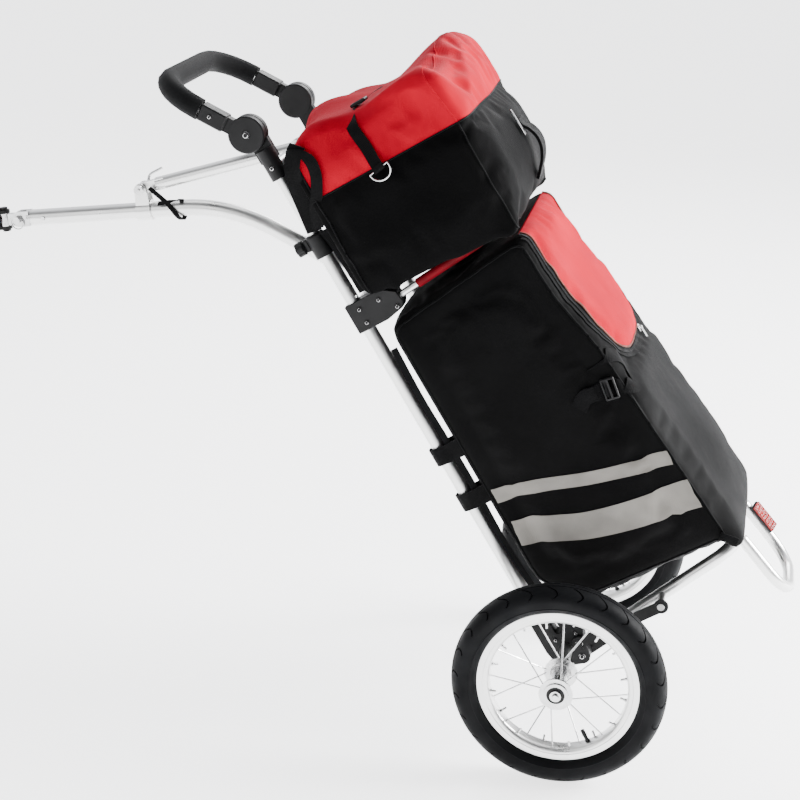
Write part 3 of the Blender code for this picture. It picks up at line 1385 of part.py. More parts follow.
def build_all():
    clear_scene()
    collection(PARTS)
    collection(CUTTERS)
    aluminium = polished_aluminium()
    steel = bright_steel()
    plastic = black_plastic()
    rubber = tyre_rubber()
    cloth = black_cloth()

    stand = body("stand", None, (0, 0, 0))
    frame = body("frame", stand, (0, 0, WHEEL_RADIUS), -LEAN)
    for side, word in SIDES:
        build_rail(word + "_rail", frame, side, aluminium)
        build_lug(word + "_axle_lug", frame, side, plastic)
        build_shelf_bracket(word + "_shelf_bracket", frame, side, plastic)
        build_collar(word + "_collar", frame, side, plastic)
        knob = body(word + "_knob_axis", frame, (RAIL_X, side * RAIL_Y, RAIL_TOP + 0.001))
        build_collar_knob(word + "_collar_knob", knob, side, plastic)
        wheel = body(word + "_wheel_axis", frame, (0, side * WHEEL_Y, 0))
        build_tyre(word + "_tyre", wheel, side, rubber)
        build_rim(word + "_rim", wheel, side, aluminium)
        build_spoked_hub(word + "_spoked_hub", wheel, side, steel)
        build_bearing(word + "_outer_bearing", wheel, side, 1, plastic)
        build_bearing(word + "_inner_bearing", wheel, side, -1, plastic)
        build_axle_pin(word + "_axle_pin", frame, side, steel)
        build_axle_sleeve(word + "_axle_sleeve", frame, side, aluminium)
        build_button(word + "_axle_button", frame, side, steel)
    build_lower_cross_tube(frame, aluminium)
    build_shelf(frame, aluminium)
    build_lower_bag(frame, cloth)
    build_upper_bag(frame, red_cloth())
    build_side_buckle(frame, steel)
    ring_spot = (RING_X, -UPPER_BAG_HALF_WIDTH + RING_OUT, RING_Z)
    build_d_ring(body("d_ring_axis", frame, ring_spot, -RING_SLOPE), steel)

    slide = body("handle_slide_axis", frame, (RAIL_X, 0, UPPER_CROSS_Z))
    for side, word in SIDES:
        build_inner_tube(word + "_inner_tube", slide, side, aluminium)
        build_socket(word + "_handle_socket", slide, side, plastic)
    build_upper_cross_tube(slide, aluminium)

    handle = body("handle_axis", slide, (HANDLE_X, 0, HANDLE_Z), -HANDLE_TILT)
    for side, word in SIDES:
        build_handle_arm(word + "_handle_arm", handle, side, plastic)
    build_handle_tube(handle, aluminium)
    build_grip(handle, black_foam())

    tow = body("towing_arm_axis", frame, (RAIL_X, 0, LOWER_CROSS_Z), LEAN)
    build_towing_arm(tow, aluminium)
    hitch = body("hitch_frame", tow, (ARM_END_X, 0, ARM_END_Z), tow_turn())
    build_bracket(hitch, aluminium)
    build_skewer(hitch, steel)
    build_fork(hitch, steel)
    lever = body("lever_axis", hitch, (BRACKET_ALONG, 0, BRACKET_HEIGHT))
    build_lever(lever, steel)
    build_snap_button(hitch, steel)
    knuckle = body("pitch_axis", hitch, (HITCH_PIN_X, 0, 0))
    build_knuckle(knuckle, steel)
    pin = body("pin_axis", hitch, (HITCH_PIN_X, 0, 0))
    build_hitch_pin(pin, steel)
    build_pull_ring(body("ring_axis", pin, (HITCH_PIN_X, 0, 0)), steel)
    clamp = body("yaw_axis", knuckle, (YAW_X, 0, 0))
    build_clamp_body(clamp, plastic)
    build_clamp_cap(clamp, plastic)

    bpy.context.view_layer.update()
    eye = slide.matrix_world.translation
    skewer = hitch.matrix_world @ Vector((BRACKET_ALONG, 0, BRACKET_HEIGHT))
    run = skewer - eye
    turn = LEAN + math.atan2(run.z, -run.x)
    strut = body("strut_axis", slide, (RAIL_X, 0, UPPER_CROSS_Z), turn)
    build_strut(strut, run.length, aluminium)

    platform = body("platform_axis", frame, (PLATFORM_PIVOT_X, 0, PLATFORM_PIVOT_Z), -PLATFORM_RISE)
    build_platform(platform, aluminium)
    build_foot(platform, aluminium)
    build_reflector(platform, red_reflector())
    for side, word in SIDES:
        build_clip(word + "_platform_clip", platform, side, plastic)
    run = link_run()
    across_platform = (LINK_ALONG, 0, 0)
    links = body("link_axis", platform, across_platform, PLATFORM_RISE + math.atan2(run.z, -run.x))
    for side, word in SIDES:
        build_link(word + "_support_link", links, side, plastic)
    centre_on_floor(stand)


build_all()
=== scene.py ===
import json
import math

import bmesh
import bpy
from bpy.props import FloatProperty, FloatVectorProperty, IntProperty, PointerProperty
from mathutils import Matrix, Vector


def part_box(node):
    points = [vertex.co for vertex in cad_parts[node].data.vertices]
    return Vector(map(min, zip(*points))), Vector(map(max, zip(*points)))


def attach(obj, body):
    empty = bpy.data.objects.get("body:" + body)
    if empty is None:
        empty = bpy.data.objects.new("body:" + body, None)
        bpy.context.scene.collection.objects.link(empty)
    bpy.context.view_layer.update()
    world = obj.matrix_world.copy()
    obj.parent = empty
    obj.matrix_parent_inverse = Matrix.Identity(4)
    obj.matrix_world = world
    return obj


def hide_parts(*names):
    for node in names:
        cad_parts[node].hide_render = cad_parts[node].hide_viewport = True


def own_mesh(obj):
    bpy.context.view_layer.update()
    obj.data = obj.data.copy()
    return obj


bl_info = {
    "name": "Bike cargo trailer",
    "version": (1, 0, 0),
    "blender": (4, 5, 0),
    "location": "3D View > Sidebar > Trailer",
    "description": "Models the looks of a two-wheeled cargo trailer: its finishes, wheels, bags and straps",
    "category": "Add Mesh",
}

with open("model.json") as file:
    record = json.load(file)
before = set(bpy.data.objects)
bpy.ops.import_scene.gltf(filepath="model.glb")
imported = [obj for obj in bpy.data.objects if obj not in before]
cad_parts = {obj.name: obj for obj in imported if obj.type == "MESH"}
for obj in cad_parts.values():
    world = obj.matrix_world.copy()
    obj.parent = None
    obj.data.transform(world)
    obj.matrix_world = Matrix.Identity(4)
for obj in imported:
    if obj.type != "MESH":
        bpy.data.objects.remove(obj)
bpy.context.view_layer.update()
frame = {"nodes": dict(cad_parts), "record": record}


def middle(node):
    low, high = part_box(node)
    return (low + high) / 2


def swing(degrees, axis):
    """A turn about one of the axes."""
    return Matrix.Rotation(math.radians(degrees), 4, axis)


NEAR = -1
FAR = 1
SIDES = ((NEAR, "left"), (FAR, "right"))

# The middle of the axle, how far out a wheel's middle is, and the left wheel's middle.
AXLE = (middle("left_rim") + middle("right_rim")) / 2
WHEEL_Y = (middle("right_rim") - middle("left_rim")).y / 2
LEFT_WHEEL = AXLE + Vector((0, NEAR * WHEEL_Y, 0))

# The cart's own frame: its origin is the middle of the axle, X points out to the bags' fronts
# and Z up along the rails.
CART = Matrix.Translation(AXLE) @ swing(-30.5, "Y")

# The two local frames in which flat trims are drawn, both in the cart's frame: on the bags' left
# side, and on their fronts.
LEFT_SIDE = swing(90, "X")
FRONT = Matrix(((0, 0, 1, 0), (1, 0, 0, 0), (0, 1, 0, 0), (0, 0, 0, 1)))
MIRROR = Matrix.Scale(-1, 4, (0, 1, 0))

# A plane in front of both bags, from which front trims are laid on.
BEFORE_FRONT = 0.345


def close(first, second):
    """True for two places along an axis that are less than a tenth of a millimetre apart."""
    return abs(first - second) < 0.0001


# Modelling helpers

def deselect():
    """Leaves edit mode and selects nothing."""
    if bpy.context.object and bpy.context.object.mode != "OBJECT":
        bpy.ops.object.mode_set(mode="OBJECT")
    bpy.ops.object.select_all(action="DESELECT")


def only(obj):
    """Makes this the one selected and active object."""
    deselect()
    obj.select_set(True)
    bpy.context.view_layer.objects.active = obj
    return obj


def take(name):
    """Names the object that an operator has just made."""
    obj = bpy.context.object
    obj.name = name
    obj.data.name = name
    return obj


def sized(name, scale, at):
    """Names a new primitive and leaves its size and place in its mesh."""
    obj = take(name)
    obj.scale = scale
    obj.location = at
    bpy.ops.object.transform_apply(location=True, rotation=True, scale=True)
    return obj


def place(obj, matrix=Matrix.Identity(4)):
    """Puts an object in the row's frame and leaves its place in its mesh."""
    only(obj)
    obj.matrix_world = matrix @ obj.matrix_world
    bpy.context.view_layer.update()
    bpy.ops.object.transform_apply(location=True, rotation=True, scale=True)
    return obj


def modify(obj, kind, **values):
    """Adds a modifier with these values and applies it."""
    only(obj)
    bpy.ops.object.modifier_add(type=kind)
    modifier = obj.modifiers[-1]
    for key, value in values.items():
        setattr(modifier, key, value)
    bpy.ops.object.modifier_apply(modifier=modifier.name)
    return obj


def pick_parts(obj, mode, test):
    """In edit mode, selects the vertices, edges or faces that pass the test."""
    bpy.context.tool_settings.mesh_select_mode = (mode == "VERT", mode == "EDGE", mode == "FACE")
    mesh = bmesh.from_edit_mesh(obj.data)
    mesh.select_mode = {mode}
    kinds = {"FACE": mesh.faces, "EDGE": mesh.edges, "VERT": mesh.verts}
    for parts in kinds.values():
        for part in parts:
            part.select = False
    for part in kinds[mode]:
        part.select = test(part)
    mesh.select_flush_mode()
    bmesh.update_edit_mesh(obj.data)


# What a test is told about a part: where its middle is, and which way a face looks.
WHERE = {
    "VERT": lambda vertex: (vertex.co,),
    "EDGE": lambda edge: ((edge.verts[0].co + edge.verts[1].co) / 2,),
    "FACE": lambda face: (face.calc_center_median(), face.normal),
}


def pick(obj, mode, test):
    """In edit mode, selects the vertices, edges or faces whose middle passes the test."""
    pick_parts(obj, mode, lambda part: test(*WHERE[mode](part)))


def edit(obj):
    """Opens a mesh or curve for editing with all of it selected."""
    only(obj)
    bpy.context.tool_settings.mesh_select_mode = (True, False, False)
    bpy.ops.object.mode_set(mode="EDIT")
    select_all(obj)


def select_all(obj):
    kind = bpy.ops.curve if obj.type == "CURVE" else bpy.ops.mesh
    kind.select_all(action="SELECT")


def done():
    bpy.ops.object.mode_set(mode="OBJECT")


def join(objects, name):
    only(objects[0])
    for obj in objects:
        obj.select_set(True)
    bpy.ops.object.join()
    return take(name)


def copied(obj, name, matrix):
    """A copy with its own mesh, moved by a matrix."""
    only(obj)
    bpy.ops.object.duplicate()
    made = take(name)
    made.matrix_world = matrix @ made.matrix_world
    return place(made)


def smooth(obj, degrees=40):
    only(obj)
    bpy.ops.object.shade_smooth_by_angle(angle=math.radians(degrees))
    return obj


def outwards(obj):
    """Merges doubles and points every face outwards."""
    edit(obj)
    bpy.ops.mesh.remove_doubles(threshold=0.00001)
    bpy.ops.mesh.normals_make_consistent(inside=False)
    done()
    return obj


def sink(obj, test, rim, depth):
    """Sinks the faces that pass the test and leaves a rim round them."""
    edit(obj)
    pick(obj, "FACE", test)
    bpy.ops.mesh.inset(thickness=rim, depth=-depth)
    done()
    return obj


def finish(obj, material, body):
    """Gives a piece its material and hangs it on its body."""
    obj.data.materials.clear()
    obj.data.materials.append(material)
    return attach(obj, body)


# Shapes that the pieces share

def wire(name, points, closed=False):
    """Draws edges through the points by pulling one vertex along; a closed outline gets its face."""
    points = [Vector(point) for point in points]
    deselect()
    bpy.ops.mesh.primitive_plane_add(size=0.002)
    obj = sized(name, (1, 1, 1), points[0])
    edit(obj)
    bpy.ops.mesh.merge(type="CENTER")
    for start, end in zip(points, points[1:]):
        bpy.ops.mesh.extrude_vertices_move(TRANSFORM_OT_translate={"value": end - start})
    if closed:
        select_all(obj)
        bpy.ops.mesh.edge_face_add()
    done()
    return obj


def turned(name, profile, steps, centre=Vector((0, 0, 0))):
    """Spins (radius, side) points about a line along Y through the centre."""
    obj = wire(name, [centre + Vector((radius, side, 0)) for radius, side in profile])
    edit(obj)
    bpy.ops.mesh.spin(steps=steps, angle=math.tau, center=centre, axis=(0, 1, 0))
    done()
    return outwards(obj)


def block(name, low, high, bevel, segments=2):
    """A box between two corners with its edges rounded."""
    low = Vector(low)
    high = Vector(high)
    deselect()
    bpy.ops.mesh.primitive_cube_add(size=1)
    obj = sized(name, high - low, (low + high) / 2)
    edit(obj)
    bpy.ops.mesh.bevel(offset=bevel, segments=segments, affect="EDGES")
    done()
    return obj


def grid(name, columns, rows, scale=(1, 1, 1), at=(0, 0, 0)):
    """A flat grid of even cells."""
    deselect()
    bpy.ops.mesh.primitive_grid_add(x_subdivisions=columns, y_subdivisions=rows, size=1)
    return sized(name, scale, at)


def measure_map(obj, length, width):
    """Stretches a grid's UV map to metres."""
    for corner in obj.data.uv_layers.active.data:
        corner.uv = (corner.uv[0] * length, corner.uv[1] * width)


def route(name, points, tilt="Z_UP"):
    """A smooth curve through the points."""
    deselect()
    bpy.ops.curve.primitive_bezier_curve_add()
    path = take(name)
    knots = path.data.splines[0].bezier_points
    knots.add(len(points) - 2)
    for knot, spot in zip(knots, points):
        knot.co = spot
    path.data.twist_mode = tilt
    path.data.resolution_u = 16
    edit(path)
    bpy.ops.curve.handle_type_set(type="AUTOMATIC")
    done()
    return path


def ribbon(name, points, widths, stand=False, spacing=0.004, across=2):
    """A strip along a path in the local XY plane; a standing one has its width along Z.

    The width is one number, or one for the start, each even step and the end.
    """
    path = route(name + "_path", points)
    length = path.data.splines[0].calc_length()
    widths = widths if isinstance(widths, (list, tuple)) else (widths, widths)
    widest = max(widths)
    strip = grid(name, max(2, round(length / spacing)), across, (length, widest, 1), (length / 2, 0, 0))
    for vertex in strip.data.vertices:
        step = min(vertex.co.x / length, 0.9999) * (len(widths) - 1)
        here = widths[int(step)] + (widths[int(step) + 1] - widths[int(step)]) * (step % 1)
        vertex.co.y *= here / widest
    measure_map(strip, length, widest)
    if stand:
        place(strip, LEFT_SIDE)
    modify(strip, "CURVE", object=path, deform_axis="POS_X")
    bpy.data.objects.remove(path)
    return strip


def between(points, step, share):
    """A place on the smooth line through the points, this share of the way past one of them."""
    before = points[max(step - 1, 0)]
    start = points[step]
    end = points[step + 1]
    after = points[min(step + 2, len(points) - 1)]
    return 0.5 * (2 * start + (end - before) * share + (2 * before - 5 * start + 4 * end - after) * share ** 2
                  + (3 * start - before - 3 * end + after) * share ** 3)


STEPS_PER_SPAN = 8


def band(name, stations, width, thickness):
    """A strap that turns as it goes.

    A station is a place, and the way out and up in which the strap's width lies there.
    """
    spans = len(stations) - 1
    places = [Vector(station[:3]) for station in stations]
    ways = [Vector((out, 0, up)).normalized() for *spot, out, up in stations]
    length = sum((end - start).length for start, end in zip(places, places[1:]))
    strip = grid(name, spans * STEPS_PER_SPAN, 2)
    measure_map(strip, length, width)
    for vertex in strip.data.vertices:
        along = (vertex.co.x + 0.5) * spans
        step = min(int(along), spans - 1)
        way = between(ways, step, along - step).normalized()
        vertex.co = between(places, step, along - step) + way * (vertex.co.y * width)
    return thicken(strip, thickness)


def button_head(name, at, way, radius, height):
    """A domed screw head with a sunk top, standing on a face at Y with its top towards way."""
    dome = ((0, 1), (0.55, 1), (0.86, 0.74), (1, 0.3), (1, 0))
    head = turned(name, [(radius * out, height * up) for out, up in dome], 24)
    sink(head, lambda co, normal: co.y > height * 0.99, radius * 0.14, height * 0.35)
    return smooth(place(head, Matrix.Translation(at) @ swing(0 if way > 0 else 180, "X")), 35)


def rounded(name, points, radius, sides=8):
    """A round cord or rod along a smooth curve through the points."""
    path = route(name, points, "MINIMUM")
    path.data.bevel_depth = radius
    path.data.bevel_resolution = sides // 4
    path.data.use_fill_caps = True
    path.data.resolution_u = 6
    only(path)
    bpy.ops.object.convert(target="MESH")
    return outwards(take(name))


def drape(obj, target, gap):
    """Lays a thin piece on another one's surface, this far above it."""
    return modify(
        obj, "SHRINKWRAP", target=target, wrap_method="NEAREST_SURFACEPOINT", wrap_mode="ABOVE_SURFACE",
        offset=gap)


def project(obj, target, gap):
    """Lays a front trim on a bag along the cart's X axis, this far above it, and cuts off the rest."""
    modify(
        obj, "SHRINKWRAP", target=target, wrap_method="PROJECT", wrap_mode="ABOVE_SURFACE", offset=gap,
        use_project_x=True, use_negative_direction=True, use_positive_direction=False)
    edit(obj)
    pick(obj, "VERT", lambda co: co.x > BEFORE_FRONT - 0.0001)
    bpy.ops.mesh.delete(type="VERT")
    done()
    return obj


def thicken(obj, thickness):
    """Gives a thin piece its thickness, half on each side."""
    modify(obj, "SOLIDIFY", thickness=thickness, offset=0)
    return smooth(outwards(obj))


def touch(target, start, way, gap=0.0):
    """Where a line from the start meets a piece's surface, this far above it."""
    bpy.context.view_layer.update()
    found, at, normal, _ = target.ray_cast(Vector(start), Vector(way))
    if not found:
        raise RuntimeError(f"nothing of {target.name} lies on the line from {tuple(start)}")
    return at + normal * gap


def unwrap(obj):
    """Maps a piece flat from six sides, in metres."""
    edit(obj)
    bpy.ops.uv.cube_project(cube_size=2.0)
    done()
    return obj


# Materials

class Shader:
    """A material and the few node patterns that the finishes share."""

    def __init__(self, name, colour, roughness, **sockets):
        self.material = bpy.data.materials.new(name)
        self.material.use_nodes = True
        self.tree = self.material.node_tree
        self.surface = self.tree.nodes["Principled BSDF"]
        self.surface.inputs["Base Color"].default_value = (*colour, 1)
        self.surface.inputs["Roughness"].default_value = roughness
        for key, value in sockets.items():
            self.surface.inputs[key.replace("_", " ")].default_value = value
        self.material.diffuse_color = (*colour, 1)

    def node(self, kind, **values):
        """Adds a node and gives its input sockets these values."""
        made = self.tree.nodes.new("ShaderNode" + kind)
        for key, value in values.items():
            self.wire(made.inputs[key.replace("_", " ")], value)
        return made

    def wire(self, target, value):
        if isinstance(value, bpy.types.NodeSocket):
            self.tree.links.new(value, target)
        else:
            target.default_value = value

    def math(self, operation, *values):
        made = self.node("Math")
        made.operation = operation
        for target, value in zip(made.inputs, values):
            self.wire(target, value)
        return made.outputs[0]

    def place(self, kind="Object"):
        """Where the surface is: on the object's own axes, or on its UV map."""
        spot = self.node("TexCoord").outputs[kind]
        return self.node("Mapping", Vector=spot).outputs[0]

    def noise(self, scale, detail, roughness=0.5):
        """A cloudy pattern on the object's own axes."""
        made = self.node("TexNoise", Vector=self.place(), Scale=scale, Detail=detail, Roughness=roughness)
        return made.outputs["Fac"]

    def tint(self, pattern, *stops):
        """Colours the surface by a pattern, with two (place, colour) stops."""
        ramp = self.node("ValToRGB", Fac=pattern)
        for stop, (spot, colour) in zip(ramp.color_ramp.elements, stops):
            stop.position = spot
            stop.color = (*colour, 1)
        self.wire(self.surface.inputs["Base Color"], ramp.outputs[0])

    def rough(self, pattern, low, high):
        """Spreads a pattern over the roughness between low and high."""
        made = self.node("MapRange", From_Min=0.3, From_Max=0.7, To_Min=low, To_Max=high, Value=pattern)
        self.wire(self.surface.inputs["Roughness"], made.outputs[0])

    def bump(self, *layers):
        """Stacks height patterns, each a (pattern, depth in metres) pair."""
        below = None
        for pattern, depth in layers:
            made = self.node("Bump", Distance=depth, Strength=1.0, Height=pattern)
            if below:
                self.wire(made.inputs["Normal"], below)
            below = made.outputs[0]
        self.wire(self.surface.inputs["Normal"], below)

    def threads(self, pitch):
        """A plain weave on the UV map, whose unit is a metre: 0 between threads and 1 on them."""
        split = self.node("SeparateXYZ", Vector=self.place("UV"))
        waves = []
        for axis in (0, 1):
            turn = self.math("MULTIPLY", split.outputs[axis], math.pi / pitch)
            waves.append(self.math("SINE", turn))
        return self.math("ABSOLUTE", self.math("MULTIPLY", *waves))


def shade(colour, share):
    return tuple(channel * share for channel in colour)


def finish_of(name, colour, roughness, grain, stain, relief, weave=(), **sockets):
    """A finish from noise patterns, each given by its scale and detail.

    The grain spreads the roughness between two values. The stain has two stops, each a place and a
    share of the colour. The relief and the weave are stacked heights, each ending with its depth.
    """
    made = Shader(name, colour, roughness, **sockets)
    if grain:
        made.rough(made.noise(*grain[:2]), *grain[2:])
    made.tint(made.noise(*stain[:2]), *((spot, shade(colour, share)) for spot, share in stain[2:]))
    woven = [(made.threads(pitch), depth) for pitch, depth in weave]
    made.bump(*woven, *((made.noise(*pattern), depth) for *pattern, depth in relief))
    return made.material


def aluminium(colours, name="drawn_aluminium"):
    return finish_of(name, colours.aluminium, 0.32, (30, 4, 0.27, 0.38), (12, 3, (0.3, 0.92), (0.7, 1)),
                     ((260, 2, 0.000012),), Metallic=1.0)


def steel(colours, name="plated_steel"):
    return finish_of(name, colours.steel, 0.18, (160, 4, 0.1, 0.32), (60, 3, (0.3, 0.75), (0.7, 1)),
                     ((900, 2, 0.00003),), Metallic=1.0)


def nylon(colours, name="moulded_nylon"):
    return finish_of(name, colours.nylon, 0.5, (40, 4, 0.38, 0.58), (15, 4, (0.3, 0.7), (0.7, 1.4)),
                     ((1400, 2, 0.00006), (120, 3, 0.00008)), IOR=1.3)


def rubber(colours):
    return finish_of("tyre_rubber", colours.rubber, 0.62, (50, 4, 0.45, 0.72),
                     (18, 5, (0.25, 0.7), (0.75, 1.7)), ((900, 3, 0.00008), (70, 3, 0.0002)), IOR=1.25)


def foam(colours):
    return finish_of("grip_foam", colours.foam, 0.8, None, (35, 4, (0.3, 0.75), (0.7, 1.4)),
                     ((1500, 3, 0.7, 0.00025), (60, 3, 0.0004)), IOR=1.2, Sheen_Weight=0.03)


def tread_rubber(colours):
    return finish_of("tread_rubber", colours.rubber, 0.6, (45, 5, 0.42, 0.7),
                     (14, 6, (0.3, 0.6), (0.75, 1.9)), ((1100, 3, 0.00006), (90, 3, 0.00015)), IOR=1.17)


def cloth(name, colour, bloom=1.6, crease=0.0014, gloss=0.5):
    """A coated polyester weave with soft creases and a faint bloom where it is rubbed."""
    return finish_of(name, colour, 0.7, (9, 4, 0.56, 0.8), (12, 5, (0.3, 0.8), (0.72, bloom)),
                     ((17, 4, 0.55, crease), (55, 3, crease * 0.25)), ((0.0009, 0.00016),),
                     IOR=1.1, Specular_IOR_Level=gloss, Sheen_Weight=0.02, Sheen_Roughness=0.4)


def webbing(name, colour, pitch=0.0019):
    """A ribbed woven tape."""
    return finish_of(name, colour, 0.66, (30, 3, 0.5, 0.76), (40, 4, (0.3, 0.7), (0.7, 1.8)),
                     ((80, 3, 0.0003),), ((pitch, 0.00035),),
                     IOR=1.14, Sheen_Weight=0.02, Sheen_Roughness=0.4)


def coil(colours):
    """The zip's nylon coil: fine ridges across the line."""
    return finish_of("zip_coil", colours.webbing, 0.4, (70, 3, 0.45, 0.65), (60, 3, (0.3, 0.8), (0.7, 2.0)),
                     (), ((0.0013, 0.0008),), IOR=1.2)


def reflective(colours):
    """Glass-bead tape: pale grey, with a fine crosshatch and worn patches."""
    return finish_of("reflective_tape", colours.reflective, 0.42, (30, 4, 0.32, 0.6),
                     (16, 5, (0.28, 0.72), (0.72, 1.12)), ((25, 3, 0.0007),), ((0.0024, 0.00012),),
                     Specular_IOR_Level=0.7, Metallic=0.35)


def red_lens(colours):
    """The reflector's clear red plastic."""
    return finish_of("reflector_lens", colours.lens, 0.16, None, (220, 2, (0.35, 0.6), (0.65, 1.25)),
                     ((260, 2, 0.0002),), Specular_IOR_Level=0.35, Coat_Weight=0.2, Coat_Roughness=0.06)


# Settings

def tone(name, about, value):
    return FloatVectorProperty(name=name, description=about, subtype="COLOR", default=value)


def metres(name, about, value):
    return FloatProperty(name=name, description=about, unit="LENGTH", default=value)


def angle(name, about, degrees):
    return FloatProperty(name=name, description=about, subtype="ANGLE", default=math.radians(degrees))


def amount(name, about, value):
    return FloatProperty(name=name, description=about, default=value)


def count(name, about, value):
    return IntProperty(name=name, description=about, default=value)


class TrailerColours(bpy.types.PropertyGroup):
    """The colours of the trailer's materials."""
    aluminium: tone("Aluminium", "Drawn tubes, rims and brackets", (0.8, 0.8, 0.79))
    steel: tone("Steel", "Spokes, pins, rings and bolts", (0.7, 0.7, 0.7))
    nylon: tone("Nylon", "Moulded lugs, collars, clips and sockets", (0.003, 0.003, 0.0033))
    rubber: tone("Rubber", "Tyres", (0.003, 0.0032, 0.0037))
    foam: tone("Foam", "Hand grip", (0.0035, 0.0037, 0.004))
    black_cloth: tone("Black cloth", "Body of both bags", (0.0014, 0.0014, 0.0015))
    red_cloth: tone("Red cloth", "Lid of the upper bag and flap of the lower one", (0.4, 0.0002, 0.014))
    webbing: tone("Webbing", "Straps and bindings", (0.0018, 0.0018, 0.002))
    reflective: tone("Reflective tape", "Two strips on each side of the lower bag", (0.16, 0.15, 0.132))
    piping: tone("Flap piping", "Thin line round the flap", (0.12, 0.05, 0.04))
    lens: tone("Reflector", "Red reflector on the foot", (0.3, 0.002, 0.002))
    floor: tone("Floor", "Studio floor and backdrop", (0.93, 0.93, 0.94))


class StageSettings(bpy.types.PropertyGroup):
    """The studio floor, lights and camera."""
    floor_size: metres("Floor size", "Side of the studio floor", 30.0)
    lens: amount("Lens", "Focal length of the camera, in millimetres", 81.0)
    key_power: amount("Key light", "Power of the soft light beyond the bags' fronts, in watts", 300.0)
    fill_power: amount("Fill light", "Power of the wide light behind the camera, in watts", 36.0)
    back_power: amount("Back light", "Power of the light behind the trailer, in watts", 90.0)
    glow: amount("Floor glow", "Light that the pale floor gives by itself", 2.4)
    wall: amount("Wall", "Strength of the bright wall behind the trailer", 1.85)
    room: amount("Room", "Strength of the dim room in front of the trailer", 0.22)


class WheelSettings(bpy.types.PropertyGroup):
    """The tyres and rims."""
    radius: metres("Tyre radius", "To the top of the tread", 0.15)
    half_width: metres("Tyre half width", "At the widest part of the sidewall", 0.0228)
    lobes: count("Tread lobes", "Curved grooves round each shoulder", 26)
    groove: metres("Groove depth", "Depth of the tread's grooves", 0.0024)
    sweep: angle("Groove sweep", "How far a groove curves round the wheel", 5.5)
    rim_radius: metres("Rim radius", "Outer edge of the rim", 0.1127)
    spokes: count("Spokes", "Spokes in each wheel", 16)
    valve_turn: angle("Valve turn", "Where the valve sits, from the trailer's back", -63)


class BagSettings(bpy.types.PropertyGroup):
    """The two bags, in the cart's own frame."""
    lower_half_width: metres("Lower half width", "Half of the lower bag's width before it is filled", 0.152)
    upper_half_width: metres("Upper half width", "Half of the upper bag's width before it is filled", 0.16)
    lid_seam: metres("Lid seam", "Height of the seam round the upper bag's lid", 0.7365)
    front_seam: metres("Front seam", "How far out the upper bag's front panel starts", 0.243)
    lower_cell: metres("Lower cloth cell", "Size of the lower bag's cloth cells", 0.0075)
    upper_cell: metres("Upper cloth cell", "Size of the upper bag's cloth cells", 0.0065)
    pressure: amount("Filling", "Pressure that fills the cloth", 4.0)
    slack: amount("Slack", "Share by which the cloth is cut too large", 0.03)
    swell: metres("Swell", "The furthest that cloth may move from its cut shape", 0.009)


class StrapSettings(bpy.types.PropertyGroup):
    """The webbing straps that tie the bags to the cart, and the small parts on the frame."""
    width: metres("Strap width", "Width of the rail straps", 0.026)
    thickness: metres("Strap thickness", "Thickness of the webbing", 0.0016)
    sleeve: metres("Shelf sleeve", "Radius of the coloured sleeve on the shelf tube", 0.0068)
    facets: IntProperty(
        name="Lens facets", description="Cuts that make the reflector's prisms", default=6, min=1, max=12)


# Stage

CAMERA_AT = AXLE + Vector((0.216, -2.469, 1.197))
CAMERA_YAW = math.radians(11.2)
CAMERA_PITCH = math.radians(19.4)
SENSOR_WIDTH = 36.0
LIGHTS_AIM = Vector((0.0, 0.0, 0.55))


def area_light(name, at, size, power):
    """A soft round light that shines on the trailer's middle."""
    deselect()
    bpy.ops.object.light_add(type="AREA", location=at)
    light = take(name)
    light.data.shape = "DISK"
    light.data.size = size
    light.data.energy = power
    light.rotation_euler = (LIGHTS_AIM - Vector(at)).to_track_quat("-Z", "Y").to_euler()


def backdrop(stage):
    """Pale surroundings: a bright wall behind the trailer and a dim room in front of it."""
    world = bpy.data.worlds.new("studio")
    world.use_nodes = True
    nodes = world.node_tree.nodes
    links = world.node_tree.links
    background = nodes["Background"]
    background.inputs["Color"].default_value = (0.95, 0.96, 1.0, 1)
    spot = nodes.new("ShaderNodeTexCoord")
    split = nodes.new("ShaderNodeSeparateXYZ")
    fade = nodes.new("ShaderNodeMapRange")
    fade.interpolation_type = "SMOOTHSTEP"
    ends = {"From Min": -0.45, "From Max": 0.45, "To Min": stage.room, "To Max": stage.wall}
    for key, number in ends.items():
        fade.inputs[key].default_value = number
    links.new(spot.outputs["Generated"], split.inputs[0])
    links.new(split.outputs["Y"], fade.inputs["Value"])
    links.new(fade.outputs[0], background.inputs["Strength"])
    return world


class TRAILER_OT_stage(bpy.types.Operator):
    """Sets up the pale floor, the soft lights and the camera."""
    bl_idname = "trailer.stage"
    bl_label = "Studio stage"

    def execute(self, context):
        stage = context.scene.trailer_stage
        pale = context.scene.trailer_colours.floor
        deselect()
        bpy.ops.mesh.primitive_plane_add(size=stage.floor_size, location=(0, 0, 0))
        floor = take("studio_floor")
        made = Shader("studio_floor", pale, 0.75, Specular_IOR_Level=0.2, Emission_Strength=stage.glow,
                      Emission_Color=(1, 1, 1, 1))
        made.tint(made.noise(0.8, 2), (0.3, shade(pale, 0.985)), (0.7, pale))
        floor.data.materials.append(made.material)
        context.scene.world = backdrop(stage)
        area_light("key_light", (2.7, 0.5, 1.4), 1.6, stage.key_power)
        area_light("fill_light", (-1.8, -3.2, 2.2), 2.4, stage.fill_power)
        area_light("back_light", (0.4, 2.6, 2.4), 1.8, stage.back_power)
        bpy.ops.object.camera_add(location=CAMERA_AT)
        camera = take("photo_camera")
        camera.data.lens = stage.lens
        camera.data.sensor_width = SENSOR_WIDTH
        camera.rotation_euler = (math.pi / 2 - CAMERA_PITCH, 0, CAMERA_YAW)
        context.scene.camera = camera
        return {"FINISHED"}


